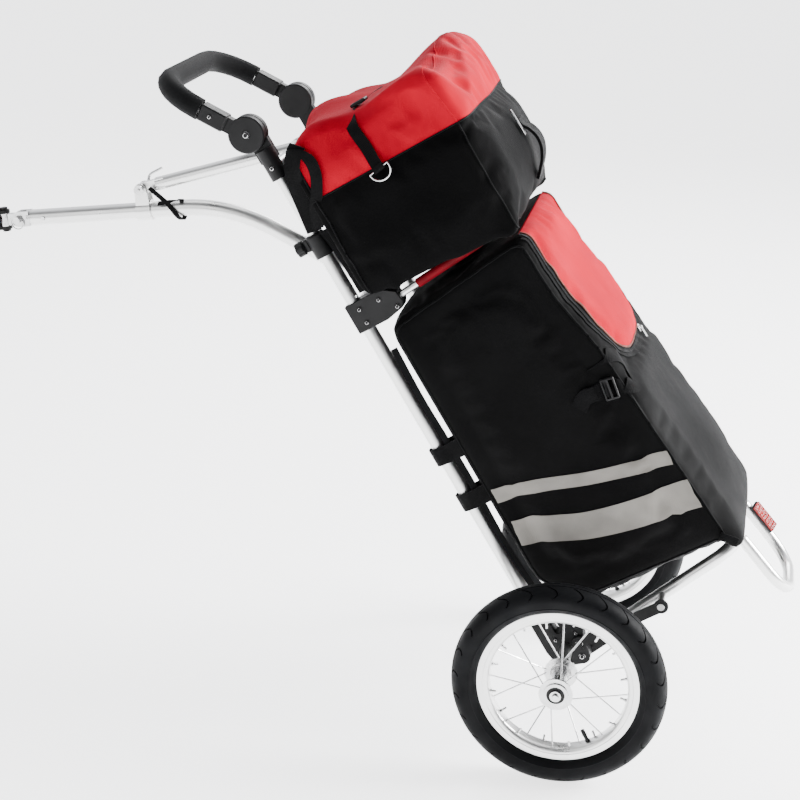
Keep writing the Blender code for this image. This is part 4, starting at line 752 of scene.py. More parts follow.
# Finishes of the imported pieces

def weld_and_smooth(obj):
    """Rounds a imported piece's shading with live modifiers, which leave its mesh alone."""
    for polygon in obj.data.polygons:
        polygon.use_smooth = True
    weld = obj.modifiers.new("merge", "WELD")
    weld.merge_threshold = 0.00001
    split = obj.modifiers.new("keep edges", "EDGE_SPLIT")
    split.split_angle = math.radians(32)


class TRAILER_OT_finishes(bpy.types.Operator):
    """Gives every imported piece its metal, plastic, rubber or foam."""
    bl_idname = "trailer.finishes"
    bl_label = "Metal, plastic and rubber"

    def execute(self, context):
        colours = context.scene.trailer_colours
        slots = {entry["node"]: entry["material_slot"] for entry in frame["record"]["subparts"]}
        made = {
            "aluminium": aluminium(colours),
            "steel": steel(colours),
            "plastic": nylon(colours),
            "tyre": rubber(colours),
            "foam": foam(colours),
        }
        for node, obj in frame["nodes"].items():
            weld_and_smooth(obj)
            if slots[node] in made:
                obj.data.materials.clear()
                obj.data.materials.append(made[slots[node]])
        return {"FINISHED"}


# Wheels

# The radius at which the tyre's tread starts to rise, and places round its section, in degrees
# from the middle of the tread. The first four turns carry the middle rib, and the grooves run
# over the next ones.
TREAD_FOOT = 0.132
RIB_TURNS = (0, 6, 9.5, 12.5)
SHOULDER_TURNS = (15, 21, 27, 33, 39, 45, 51, 57, 63, 70)
WALL_TURNS = (78, 84, 90)


def tyre_ring(wheel, turn):
    """The radius and the half width of the tyre at a place round its section."""
    depth = wheel.radius - TREAD_FOOT
    return TREAD_FOOT + depth * math.cos(math.radians(turn)), wheel.half_width * math.sin(math.radians(turn))


def on_groove(wheel, spot):
    """True for the middle of an edge that runs over the shoulder at one of the grooves."""
    near_crown = tyre_ring(wheel, SHOULDER_TURNS[0])[1]
    near_wall = tyre_ring(wheel, SHOULDER_TURNS[-1])[1]
    share = math.atan2(spot.z, spot.x) / (math.tau / wheel.lobes) + (0.4 if spot.y > 0 else 0)
    on_line = min(share % 1, 1 - share % 1) < 0.06
    outer = math.hypot(spot.x, spot.z) > TREAD_FOOT + 0.001
    return on_line and outer and near_crown < abs(spot.y) < near_wall


def from_axle(co):
    """How far a place on the left wheel is from the axle's line."""
    return math.hypot(co.x - LEFT_WHEEL.x, co.z - LEFT_WHEEL.z)


def cut_groove(half_width, depth):
    """Widens the selected edges into strips and sinks them."""
    bpy.ops.mesh.bevel(offset=half_width, segments=1, affect="EDGES")
    bpy.ops.mesh.inset(thickness=half_width * 0.3, depth=-depth)


def build_tyre(wheel):
    """One tyre, spun from its section, with curved grooves sunk over both shoulders."""
    tread = [tyre_ring(wheel, turn) for turn in RIB_TURNS + SHOULDER_TURNS + WALL_TURNS]
    wall = [(TREAD_FOOT - 0.0187 * math.sin(turn), wheel.half_width - 0.0112 * (1 - math.cos(turn)) + swell)
            for turn, swell in ((0.28, 0), (0.5, 0), (0.56, 0.0008), (0.9, 0), (1.25, 0), (math.pi / 2, 0))]
    half = tread + wall + [(0.1127, 0.0112), (0.1052, 0.0108)]
    section = [(radius, -side) for radius, side in half[:0:-1]] + half
    tyre = turned("left_tyre_tread", section + section[:1], wheel.lobes * 5, LEFT_WHEEL)
    edit(tyre)
    pick(tyre, "EDGE", lambda co: on_groove(wheel, co - LEFT_WHEEL))
    bpy.ops.mesh.mark_seam()
    for step, turn in enumerate(SHOULDER_TURNS[1:]):
        radius, width = tyre_ring(wheel, turn)
        lead = wheel.sweep * math.sin((step + 1) / (len(SHOULDER_TURNS) - 1) * math.pi * 0.8)
        for side in (NEAR, FAR):
            pick(tyre, "VERT",
                 lambda co: close(co.y - LEFT_WHEEL.y, side * width) and close(from_axle(co), radius))
            bpy.ops.transform.rotate(
                value=side * lead, orient_axis="Y", orient_type="GLOBAL", center_override=LEFT_WHEEL)
    pick_parts(tyre, "EDGE", lambda edge: edge.seam)
    cut_groove(0.0012, wheel.groove)
    rib = tyre_ring(wheel, RIB_TURNS[2])[1]
    pick(tyre, "EDGE", lambda co: close(abs(co.y - LEFT_WHEEL.y), rib) and from_axle(co) > 0.14)
    cut_groove(0.0007, wheel.groove)
    select_all(tyre)
    bpy.ops.mesh.mark_seam(clear=True)
    done()
    return smooth(tyre, 38)


def build_rim(wheel):
    """One rim, spun from its hollow section."""
    outer = wheel.rim_radius
    half = [
        (0.096, 0.0), (0.0961, 0.006), (0.0966, 0.0082), (0.0982, 0.0104), (0.1004, 0.0117), (0.104, 0.0122),
        (0.1046, 0.0128), (0.111, 0.0129), (outer, 0.0127), (outer + 0.0001, 0.0119),
        (outer - 0.0006, 0.0114), (0.1108, 0.0115), (0.1042, 0.011), (0.1032, 0.0085), (0.1025, 0.0),
    ]
    section = half + [(radius, -side) for radius, side in half[-2::-1]]
    return smooth(turned("left_rim_hoop", section, 128, LEFT_WHEEL), 30)


def round_wheel(radius, turn, side=0.0):
    """A place on a circle round the axle, from the wheel's middle."""
    return Vector((radius * math.cos(turn), side, radius * math.sin(turn)))


def spoke_ends(wheel, index):
    """Where a spoke leaves the hub and where it meets the rim, from the wheel's middle."""
    outward = 1 if index % 2 == 0 else -1
    lead = 1 if index % 4 < 2 else -1
    at_rim = math.tau * (index + 0.5) / wheel.spokes
    at_hub = at_rim + lead * math.radians(15)
    return round_wheel(0.0206, at_hub, -outward * 0.03), round_wheel(0.0958, at_rim, -outward * 0.004)


def aimed(spot, way):
    """Puts a turned shape at a place on the left wheel, with its line along a way."""
    return Matrix.Translation(LEFT_WHEEL + spot) @ way.to_track_quat("Y", "X").to_matrix().to_4x4()


def build_nipples(wheel):
    """The nipple on each spoke's end, turned once and copied round the rim."""
    section = ((0, 0), (0.0022, 0), (0.0022, 0.0016), (0.0016, 0.0023), (0.0016, 0.0085), (0.0012, 0.009),
               (0, 0.009))
    first = turned("nipple", section, 10)
    ends = [spoke_ends(wheel, index) for index in range(wheel.spokes)]
    nuts = [copied(first, "nipple_copy", aimed(rim, hub - rim)) for hub, rim in ends]
    bpy.data.objects.remove(first)
    return smooth(join(nuts, "left_nipples"), 50)


def build_valve(wheel):
    """The inner tube's black valve stem with its cap."""
    section = ((0, 0), (0.0026, 0), (0.003, 0.0008), (0.003, 0.0068), (0.0034, 0.0072), (0.0034, 0.0082),
               (0.0027, 0.0088), (0.0027, 0.014), (0.0036, 0.017), (0.0036, 0.02), (0, 0.02))
    stem = turned("left_valve", section, 20)
    out = round_wheel(1, wheel.valve_turn)
    return smooth(place(stem, aimed(out * 0.0775, out)), 35)


class TRAILER_OT_wheels(bpy.types.Operator):
    """Models the treaded tyres, the rims, the spoke nipples and the valves."""
    bl_idname = "trailer.wheels"
    bl_label = "Wheels"

    def execute(self, context):
        wheel = context.scene.trailer_wheels
        colours = context.scene.trailer_colours
        pieces = (
            (build_tyre(wheel), tread_rubber(colours), "tyre", "tyre"),
            (build_rim(wheel), aluminium(colours, "rim_aluminium"), "aluminium", "rim"),
            (build_nipples(wheel), steel(colours, "nipple_steel"), "steel", None),
            (build_valve(wheel), nylon(colours, "valve_rubber"), "plastic", None),
        )
        across = Matrix.Translation((0, 2 * WHEEL_Y, 0))
        for left, material, slot, node in pieces:
            right = copied(left, left.name.replace("left", "right"), across)
            for side, piece in (("left", left), ("right", right)):
                finish(piece, material, side + "_wheel")
                if node:
                    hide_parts(f"{side}_{node}")
        return {"FINISHED"}


# Bags

# Side outlines of both bags before they are filled, in the cart's X and Z.
LOWER_OUTLINE = (
    (0.01, 0.11), (0.062, 0.055), (0.294, 0.052), (0.266, 0.38), (0.247, 0.47), (0.242, 0.567), (0.01, 0.536))
UPPER_OUTLINE = (
    (0.012, 0.59), (0.246, 0.59), (0.262, 0.64), (0.26, 0.74), (0.252, 0.812), (0.2, 0.814), (0.122, 0.803),
    (0.06, 0.822), (0.012, 0.812))

# Where the upper bag's back binding sits, and how far its lid's front leans back as it rises.
BACK_SEAM = 0.0205
LID_LEAN = 0.16

# The red flap on the lower bag's front, and the seam from which the bag's top is red as well.
FLAP_HALF = 0.123
FLAP_LOW = 0.34
FLAP_HIGH = 0.566
FLAP_CORNER = 0.085
FLAP_STEPS = 10
RED_TOP_SEAM = FLAP_HIGH - 0.01

# How far inside the lower bag's cut width its side seams are.
SIDE_SEAM_IN = 0.004


def bag_shape(name, outline, half_width, cell, rounding):
    """A side outline in X and Z, pulled out to the bag's width, rounded and cut into even cells."""
    obj = wire(name, [(x, -half_width, z) for x, z in outline], closed=True)
    edit(obj)
    bpy.ops.mesh.extrude_region_move(TRANSFORM_OT_translate={"value": (0, 2 * half_width, 0)})
    select_all(obj)
    bpy.ops.mesh.normals_make_consistent(inside=False)
    bpy.ops.mesh.bevel(offset=rounding, segments=4, affect="EDGES")
    done()
    modify(obj, "REMESH", mode="VOXEL", voxel_size=cell)
    return modify(obj, "SMOOTH", factor=0.5, iterations=3)


def pull(obj, test, value, size):
    """Moves all the vertices that pass the test, and those around them less and less."""
    edit(obj)
    pick(obj, "VERT", test)
    bpy.ops.transform.translate(
        value=value, use_proportional_edit=True, proportional_edit_falloff="SMOOTH", proportional_size=size)
    done()


def push(obj, at, value, size):
    """Moves the vertex nearest to a place, and those around it less and less."""
    spot = min((vertex.co.copy() for vertex in obj.data.vertices), key=lambda co: (co - Vector(at)).length)
    pull(obj, lambda co: (co - spot).length < 0.0001, value, size)


FILL_FRAMES = 20


def fill(obj, bags, held):
    """Fills a shape of even cells as cloth under pressure, and keeps the result."""
    edit(obj)
    pick(obj, "VERT", held)
    bpy.ops.object.vertex_group_assign_new()
    done()
    bpy.ops.object.modifier_add(type="CLOTH")
    cushion = obj.modifiers[-1]
    settings = cushion.settings
    settings.quality = 5
    settings.mass = 0.25
    settings.bending_stiffness = 0.4
    settings.use_pressure = True
    settings.uniform_pressure_force = bags.pressure
    settings.shrink_min = -bags.slack
    settings.effector_weights.gravity = 0
    settings.vertex_group_mass = obj.vertex_groups[-1].name
    starts = [vertex.co.copy() for vertex in obj.data.vertices]
    for number in range(1, FILL_FRAMES + 1):
        bpy.context.scene.frame_set(number)
    bpy.ops.object.modifier_apply(modifier=cushion.name)
    bpy.context.scene.frame_set(1)
    for vertex, start in zip(obj.data.vertices, starts):
        moved = vertex.co - start
        if moved.length > bags.swell:
            vertex.co = start + moved * (bags.swell / moved.length)
    obj.vertex_groups.clear()


def seams(obj, *cuts):
    """Rounds a filled shape off and cuts seam lines round it, each a (place, normal) pair."""
    modify(obj, "SUBSURF", levels=1, render_levels=1)
    for at, normal in cuts:
        edit(obj)
        bpy.ops.mesh.bisect(plane_co=at, plane_no=normal)
        done()
    return obj


def piping(obj, name, radius, test):
    """A round binding along the edges that pass the test."""
    edit(obj)
    pick(obj, "EDGE", test)
    bpy.ops.mesh.duplicate()
    bpy.ops.mesh.separate(type="SELECTED")
    done()
    only(next(other for other in bpy.context.selected_objects if other != obj))
    bpy.ops.object.convert(target="CURVE")
    cord = bpy.context.object
    cord.data.bevel_depth = radius
    cord.data.bevel_resolution = 2
    cord.data.use_fill_caps = True
    bpy.ops.object.convert(target="MESH")
    return unwrap(smooth(outwards(take(name)), 60))


def paint(obj, material, test):
    """Gives a bag a second material, on the faces whose middle in the cart's frame passes the test."""
    back = CART.inverted()
    obj.data.materials.append(material)
    edit(obj)
    pick(obj, "FACE", lambda co, normal: test(back @ co))
    obj.active_material_index = 1
    bpy.ops.object.material_slot_assign()
    done()


def lower_shell(bags):
    """The lower bag's body: cut, filled, and creased at its side seams and round its flap."""
    shell = bag_shape("lower_bag_shell", LOWER_OUTLINE, bags.lower_half_width, bags.lower_cell, 0.018)
    pull(shell, lambda co: co.x > 0.284 and co.z < 0.08, (0.002, 0, -0.026), 0.012)
    push(shell, (0.285, 0.03, 0.15), (0.011, 0, 0.0), 0.15)
    push(shell, (0.272, 0.0, 0.3), (0.006, 0, 0.0), 0.12)
    edge = bags.lower_half_width - SIDE_SEAM_IN
    fill(shell, bags, lambda co: abs(abs(co.y) - edge) < 0.004 or co.x < 0.012 or co.z > 0.556
         or co.x > 0.2 and abs(outside_flap(co) - 0.008) < 0.005)
    across = (0, 1, 0)
    return seams(
        shell, ((0, -edge, 0), across), ((0, -FLAP_HALF, 0), across), ((0, edge, 0), across),
        ((0, FLAP_HALF, 0), across), ((0, 0, RED_TOP_SEAM), (0, 0, 1)))


# What brings the upper bag's edges into form. A side row acts on both sides: it takes vertices below
# a height, between two X and from this far past the side's edge, and has a way and a size. A front
# row takes them below a height, past an X and within a half width. A push has a place first.
SIDE_PULLS = (
    (math.inf, -math.inf, 0.022, 0.0, (-0.009, 0.003, 0), 0.016),
    (0.604, 0.06, 0.24, 0.0, (0, 0, -0.015), 0.016),
    (0.594, 0.155, math.inf, 0.0, (0, 0, -0.005), 0.03),
    (0.612, 0.012, 0.06, 0.003, (0, 0, -0.014), 0.012),
)
FRONT_PULLS = (
    (0.598, 0.23, math.inf, (0.002, 0, -0.009), 0.022),
    (0.594, 0.225, 0.11, (0.003, 0, -0.006), 0.035),
)
UPPER_PUSHES = (
    ((0.262, 0.0, 0.67), (0.012, 0, 0.0), 0.12),
    ((0.25, 0.0, 0.815), (0.008, 0, 0.008), 0.1),
    ((0.25, 0.085, 0.815), (0.003, 0, 0.016), 0.11),
    ((0.04, 0.0, 0.825), (-0.002, 0, 0.014), 0.1),
)


def upper_shell(bags):
    """The upper bag's body: cut, filled, and creased at its lid, front and back seams."""
    shell = bag_shape("upper_bag_shell", UPPER_OUTLINE, bags.upper_half_width, bags.upper_cell, 0.02)
    edge = bags.upper_half_width - 0.008
    for side in (NEAR, FAR):
        for below, back, front, past, (out, wide, up), size in SIDE_PULLS:
            pull(shell, lambda co: co.z < below and back < co.x < front and side * co.y > edge + past,
                 (out, side * wide, up), size)
    for below, back, half, way, size in FRONT_PULLS:
        pull(shell, lambda co: co.z < below and co.x > back and abs(co.y) < half, way, size)
    for at, way, size in UPPER_PUSHES:
        push(shell, at, way, size)
    fill(shell, bags, lambda co: abs(co.z - bags.lid_seam) < 0.004 or co.x < 0.016
         or co.z < 0.6 and co.x < 0.216)
    return seams(
        shell, ((0, 0, bags.lid_seam), (0, 0, 1)), ((bags.front_seam, 0, 0), (1, 0, 0)),
        ((bags.front_seam, 0, bags.lid_seam), (1, 0, LID_LEAN)), ((BACK_SEAM, 0, 0), (1, 0, 0)))


def outside_flap(co):
    """How far a place on the front lies outside the flap's edge."""
    across = max(abs(co.y) - (FLAP_HALF - FLAP_CORNER), 0)
    down = max(FLAP_LOW + FLAP_CORNER - co.z, 0)
    return math.hypot(across, down) - FLAP_CORNER


def flap_edge(outset):
    """The flap's U-shaped edge in Y and Z, this far outside it, from its left top to its right top."""
    half = FLAP_HALF + outset
    radius = FLAP_CORNER + outset
    bend = [(half - radius + radius * math.cos(turn), FLAP_LOW + FLAP_CORNER - radius * math.sin(turn))
            for turn in (math.pi / 2 * step / FLAP_STEPS for step in range(FLAP_STEPS + 1))]
    straight = [(half, FLAP_HIGH - (FLAP_HIGH - bend[0][1]) * share) for share in (0, 0.35, 0.7)]
    right = straight + bend
    return [(-y, z) for y, z in right] + right[::-1]


def build_flap(shell):
    """The red panel: a fine grid trimmed to the U shape and laid on the bag's front."""
    width = 2 * FLAP_HALF
    height = FLAP_HIGH - FLAP_LOW
    flap = grid("lower_bag_flap", 60, 56, (width, height, 1), (0, FLAP_LOW + height / 2, BEFORE_FRONT))
    measure_map(flap, width, height)
    edit(flap)
    cuts = 12
    for side in (NEAR, FAR):
        for step in range(cuts):
            turn = math.pi / 2 * (step + 0.5) / cuts
            out = Vector((side * math.cos(turn), -math.sin(turn), 0))
            hub = Vector((side * (FLAP_HALF - FLAP_CORNER), FLAP_LOW + FLAP_CORNER, BEFORE_FRONT))
            select_all(flap)
            bpy.ops.mesh.bisect(plane_co=hub + out * FLAP_CORNER, plane_no=out, clear_outer=True)
    done()
    place(flap, FRONT)
    project(flap, shell, 0.0016)
    return thicken(flap, 0.0012)


def front_ribbon(name, points, width, shell, gap, thickness, across=2):
    """A ribbon on the bag's front through points in Y and Z."""
    strip = place(ribbon(name, [(y, z, BEFORE_FRONT) for y, z in points], width, across=across), FRONT)
    project(strip, shell, gap + thickness / 2)
    return thicken(strip, thickness)


def pull_tab(name, low, high, depth):
    """A metal puller: a rounded plate with a sunk face."""
    return sink(block(name, low, high, 0.0007), lambda co, normal: normal.z > 0.9, 0.0011, depth)


def on_front(shell, y, z, gap=0.0):
    """Where a line from before the bags' fronts meets a bag, this far above it."""
    return touch(shell, (0.4, y, z), (-1, 0, 0), gap)


def build_slider(shell):
    """The zip's slider and its hanging puller, near the bottom of the U."""
    spot = on_front(shell, 0.046, FLAP_LOW - 0.007, 0.003)
    body = block("slider_body", (-0.0055, -0.005, 0.0), (0.0055, 0.005, 0.004), 0.0012)
    bridge = rounded("slider_bridge", [(0, -0.004, 0.0035), (0, 0, 0.007), (0, 0.004, 0.0035)], 0.0009)
    tab = pull_tab("slider_pull", (-0.0042, -0.042, 0.005), (0.0042, -0.001, 0.0068), 0.0004)
    piece = join([body, bridge, tab], "zip_slider")
    return smooth(place(piece, Matrix.Translation(spot) @ FRONT @ swing(12, "Z")))


# Each reflective strip's middle line in the cart's X and Z, and its width, from the back to the front.
STRIPS = (
    (((0.0205, 0.2537), (0.076, 0.247), (0.164, 0.2215), (0.276, 0.198)), (0.0221, 0.019, 0.019, 0.0222)),
    (((0.0215, 0.191), (0.065, 0.1825), (0.13, 0.16), (0.282, 0.137)), (0.0395, 0.04, 0.042, 0.045)),
)


def side_ribbon(name, points, width, out, across):
    """A ribbon beside the left of the lower bag through points in X and Z."""
    return place(ribbon(name, [(x, z, out) for x, z in points], width, across=across), LEFT_SIDE)


def build_strips(shell):
    """The two reflective strips on each side of the lower bag."""
    made = []
    for number, (line, widths) in enumerate(STRIPS):
        left = side_ribbon(f"left_reflective_strip_{number + 1}", line, widths, 0.165, 6)
        right = copied(left, left.name.replace("left", "right"), MIRROR)
        for piece in (left, right):
            made.append(thicken(drape(piece, shell, 0.0009), 0.0008))
    return made


def ladder_lock(name, width, matrix):
    """A strap adjuster: a rounded frame with a bar across it, standing on its local XY plane."""
    half = width / 2 + 0.003
    bar_edge = 0.0014
    frame_edge = 0.0075
    lock = block(name, (-0.01, -half, 0.0), (0.01, half, 0.0048), 0.0018, 3)
    edit(lock)
    for cut in (-frame_edge, -bar_edge, bar_edge, frame_edge):
        select_all(lock)
        bpy.ops.mesh.bisect(plane_co=(cut, 0, 0), plane_no=(1, 0, 0))
    for cut in (-width / 2, width / 2):
        select_all(lock)
        bpy.ops.mesh.bisect(plane_co=(0, cut, 0), plane_no=(0, 1, 0))
    pick(lock, "FACE", lambda co, normal: abs(normal.z) > 0.9 and abs(co.y) < width / 2
         and bar_edge < abs(co.x) < frame_edge)
    bpy.ops.mesh.bridge_edge_loops()
    done()
    return place(smooth(outwards(lock), 35), matrix)


COMPRESSION_RUNS = (
    ("compression_strap", ((0.214, 0.329), (0.238, 0.325), (0.272, 0.318)), 0.001),
    ("compression_end", ((0.196, 0.318), (0.212, 0.328), (0.23, 0.327)), 0.003),
)
COMPRESSION_TAB = (
    (-0.147, 0.316), (-0.134, 0.306), (-0.121, 0.314), (-0.117, 0.333), (-0.128, 0.351), (-0.147, 0.366))


def on_left(shell, x, z, gap, degrees):
    """The frame of a part that lies on the lower bag's left side, turned this far in its plane."""
    spot = touch(shell, (x, -0.25, z), (0, 1, 0), gap)
    return Matrix.Translation(spot) @ LEFT_SIDE @ swing(degrees, "Z")


def compression_strap(shell, colours):
    """The strap over the lower bag's front corner, its adjuster, the loop on the front and the seam tag."""
    tape = webbing("strap_webbing", colours.webbing)
    made = []
    for name, points, gap in COMPRESSION_RUNS:
        strip = drape(side_ribbon(name, points, 0.023, 0.17, 4), shell, gap)
        made.append((thicken(strip, 0.0016), tape, "cloth"))
    tab = front_ribbon("compression_tab", COMPRESSION_TAB, 0.019, shell, 0.0005, 0.0018, 4)
    made.append((tab, tape, "cloth"))
    lock = ladder_lock("ladder_lock", 0.026, on_left(shell, 0.245, 0.323, 0.0024, -9))
    made.append((lock, nylon(colours, "buckle_nylon"), "plastic"))
    tag = block("seam_tag", (0.0, -0.006, 0.0), (0.026, 0.006, 0.0022), 0.0007)
    place(tag, on_left(shell, 0.278, 0.066, 0.0015, -48))
    return made + [(unwrap(smooth(tag)), tape, "cloth")]


class TRAILER_OT_lower_bag(bpy.types.Operator):
    """Models the lower bag with its bindings, its flap and zip, its strips and its compression strap."""
    bl_idname = "trailer.lower_bag"
    bl_label = "Lower bag"

    def execute(self, context):
        bags = context.scene.trailer_bags
        colours = context.scene.trailer_colours
        shell = lower_shell(bags)
        edge = bags.lower_half_width - SIDE_SEAM_IN
        tape = webbing("binding_tape", colours.webbing)
        red = cloth("flap_cloth", colours.red_cloth, 1.15, 0.0022)
        pieces = []
        for side, word in SIDES:
            line = piping(shell, f"lower_bag_{word}_binding", 0.0017, lambda co: close(co.y, side * edge))
            pieces.append((line, tape, "cloth"))
        pieces += [
            (build_flap(shell), red, "red_cloth"),
            (front_ribbon("zip_tape", flap_edge(0.0085), 0.0165, shell, 0.0007, 0.0008, 4), tape, "cloth"),
            (front_ribbon("zip_coil", flap_edge(0.008), 0.005, shell, 0.0015, 0.0012),
             coil(colours), "plastic"),
            (front_ribbon("flap_piping", flap_edge(0.0004), 0.0024, shell, 0.0022, 0.0012),
             webbing("flap_piping", colours.piping, 0.0012), "cloth"),
            (build_slider(shell), steel(colours, "zip_steel"), "steel"),
        ]
        pieces += [(strip, reflective(colours), "reflector") for strip in build_strips(shell)]
        pieces += compression_strap(shell, colours)
        black = cloth("lower_bag_cloth", colours.black_cloth, gloss=0.8)
        pieces.append((unwrap(smooth(shell, 75)), black, "cloth"))
        for piece, material, slot in pieces:
            finish(place(piece, CART), material, "frame")
            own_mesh(piece)
        paint(shell, red, lambda spot: spot.z > RED_TOP_SEAM and spot.x > 0.23 and abs(spot.y) < FLAP_HALF)
        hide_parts("side_buckle")
        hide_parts("lower_bag")
        return {"FINISHED"}


class TRAILER_OT_upper_bag(bpy.types.Operator):
    """Models the upper bag with its lid, its bindings, its carry handle and its D-ring strap."""
    bl_idname = "trailer.upper_bag"
    bl_label = "Upper bag"

    def execute(self, context):
        bags = context.scene.trailer_bags
        colours = context.scene.trailer_colours
        shell = upper_shell(bags)
        tape = webbing("lid_webbing", colours.webbing)
        red = cloth("lid_cloth", colours.red_cloth, 1.15, 0.0018)
        lid = bags.lid_seam
        front = bags.front_seam
        bindings = (
            ("lid_binding", 0.0012, tape, "cloth", lambda co: close(co.z, lid)),
            ("front_binding", 0.0013, tape, "cloth", lambda co: close(co.x, front) and co.z < lid),
            ("lid_front_welt", 0.001, red, "red_cloth",
             lambda co: close(co.x - front + LID_LEAN * (co.z - lid), 0) and co.z > lid),
            ("back_binding", 0.0016, tape, "cloth", lambda co: close(co.x, BACK_SEAM)),
        )
        pieces = [(piping(shell, name, radius, test), material, slot)
                  for name, radius, material, slot, test in bindings]
        pieces += [
            (build_ring_strap(shell), tape, "cloth"),
            (build_carry_handle(shell), tape, "cloth"),
            (build_carry_puller(shell), steel(colours, "puller_steel"), "steel"),
            (build_lid_buckle(shell), nylon(colours, "lid_buckle_nylon"), "plastic"),
            (unwrap(smooth(shell, 75)), cloth("upper_bag_cloth", colours.black_cloth), "cloth"),
        ]
        for piece, material, slot in pieces:
            finish(place(piece, CART), material, "frame")
        paint(shell, red, lambda spot: spot.z > lid and spot.x > BACK_SEAM)
        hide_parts("upper_bag")
        return {"FINISHED"}


# How far out the lid's strap lies, and the slanting line down which it and its D-ring hang.
LID_STRAP = 0.122
RING_HANG = Matrix.Translation((LID_STRAP, 0, 0.7345)) @ swing(-8.9, "Y")
ROUND_RING = ((-0.1697, 0.004), (-0.17, -0.0016), (-0.1722, -0.0032), (-0.1745, -0.0012), (-0.1738, 0.005))


def on_lid(shell, y, gap):
    """Where the lid's strap lies on the lid, this far above it."""
    return touch(shell, (LID_STRAP, y, 1.0), (0, 0, -1), gap)


def build_ring_strap(shell):
    """The lid's strap: over the lid, down its left side, round the D-ring's bar and back up."""
    hang = RING_HANG.inverted()
    path = []
    for y in (0.07, 0.01, -0.06, -0.11, -0.135):
        spot = hang @ on_lid(shell, y, 0.0016)
        path.append((spot.y, spot.z, 0))
    for height in (0.062, 0.032):
        start = RING_HANG @ Vector((0, -0.25, height))
        spot = hang @ touch(shell, start, (0, 1, 0), 0.0034)
        path.append((max(spot.y, -0.1715), height, 0))
    path += [(y, z, 0) for y, z in ROUND_RING]
    strap = place(ribbon("lid_strap", path, 0.0165, stand=True, spacing=0.0022), RING_HANG @ FRONT)
    return thicken(strap, 0.0015)


def build_lid_buckle(shell):
    """The slide buckle on the lid's strap."""
    where = Matrix.Translation(on_lid(shell, -0.095, 0.0026)) @ swing(90, "Z")
    return ladder_lock("lid_buckle", 0.0175, where)


def build_carry_handle(shell):
    """The webbing handle on the upper bag's front: sewn on at both ends and standing off between them."""
    path = []
    for height, gap in ((0.688, 0.0024), (0.68, 0.0034), (0.667, 0.011), (0.648, 0.016), (0.629, 0.015),
                        (0.612, 0.008), (0.603, 0.0024)):
        path.append((on_front(shell, 0.0, height).x + gap, height, 0))
    strap = place(ribbon("carry_handle", path, 0.034, stand=True, spacing=0.003), LEFT_SIDE)
    return thicken(strap, 0.004)


def build_carry_puller(shell):
    """The small metal puller that hangs beside the carry handle."""
    spot = on_front(shell, -0.024, 0.706) + Vector((0.0045, 0, 0))
    tab = pull_tab("front_puller", (-0.0035, -0.04, 0.0), (0.0035, 0.0, 0.002), 0.0005)
    return smooth(place(tab, Matrix.Translation(spot) @ FRONT @ swing(-3, "X")))


# Straps and small parts

# A strap's way round the left rail in the cart's X and Y, from the bag round the rail and back.
ROUND_RAIL = ((0.018, -0.118), (0.0, -0.1175), (-0.016, -0.1192), (-0.0275, -0.1258), (-0.03, -0.1335),
              (-0.0268, -0.142), (-0.016, -0.1468), (0.0, -0.1478), (0.018, -0.1478))
RAIL_STRAP_HEIGHTS = (0.338, 0.262)


def rail_loop(name, side, height, straps):
    """A webbing loop that ties a bag's back to a rail."""
    path = [(x, -side * y, 0) for x, y in ROUND_RAIL]
    strap = ribbon(name, path, straps.width, stand=True, spacing=0.002)
    return thicken(place(strap, Matrix.Translation((0, 0, height))), straps.thickness)


# The pieces beside the left rail in the cart's frame: each station's place, and the way out and up in which
# the piece's width lies there. The first is a thin dark strip laid on the rail's near side, a painted
# reflection of the black bag in the tube; the others are straps.
RAIL_PAINTED_REFLECTION = (
    (0.004, -0.1452, 0.505, 1, 0.04), (0.001, -0.1452, 0.42, 1, 0), (0.003, -0.1452, 0.3, 1, 0),
    (0.0, -0.1452, 0.19, 1, 0), (0.004, -0.1452, 0.105, 1, 0.05))
BESIDE_BAG = (
    (0.004, -0.148, 0.696, 1, 0), (0.008, -0.148, 0.6675, 1, 0), (0.0095, -0.148, 0.63, 1, 0),
    (0.01, -0.148, 0.596, 1, 0))
SOCKET_STRAP = (
    (0.038, -0.164, 0.813, 0.66, -0.75), (0.028, -0.164, 0.806, 0.72, -0.69),
    (0.015, -0.161, 0.79, 0.84, -0.54), (0.004, -0.156, 0.762, 0.96, -0.26),
    (-0.003, -0.151, 0.728, 0.99, -0.14), (-0.008, -0.1475, 0.7, 0.99, -0.14))
SOCKET_BRANCH = (
    (0.031, -0.1655, 0.812, 0.88, -0.47), (0.043, -0.168, 0.791, 1, -0.1),
    (0.041, -0.168, 0.768, 0.96, -0.27), (0.028, -0.164, 0.746, 0.82, -0.57),
    (0.01, -0.1555, 0.724, 0.85, -0.52), (0.0, -0.15, 0.702, 0.95, -0.31))

# The tie round the towing arm, in the row's frame.
ARM_TIE = (
    (-0.322, -0.016, 0.768, 0.75, 0.66), (-0.2964, -0.0145, 0.7464, 0.75, 0.66),
    (-0.2811, -0.0135, 0.7273, 0.9, 0.3), (-0.277, 0.0, 0.72, 1, 0), (-0.277, 0.0135, 0.732, 1, 0),
    (-0.278, 0.0, 0.749, 1, 0), (-0.2801, -0.015, 0.7511, 0.9, 0.2), (-0.2964, -0.0165, 0.748, 0.3, 0.95),
    (-0.31, -0.015, 0.745, 0.2, 0.98))


def outside(bag, stations, gap):
    """The stations of a strap on the left side, moved out to lie over a finished bag where they meet it."""
    made = []
    for x, y, z, *way in stations:
        found, at, _, _ = bag.ray_cast(CART @ Vector((x, -0.3, z)), Vector((0, 1, 0)))
        made.append((x, min(y, at.y - gap) if found else y, z, *way))
    return made


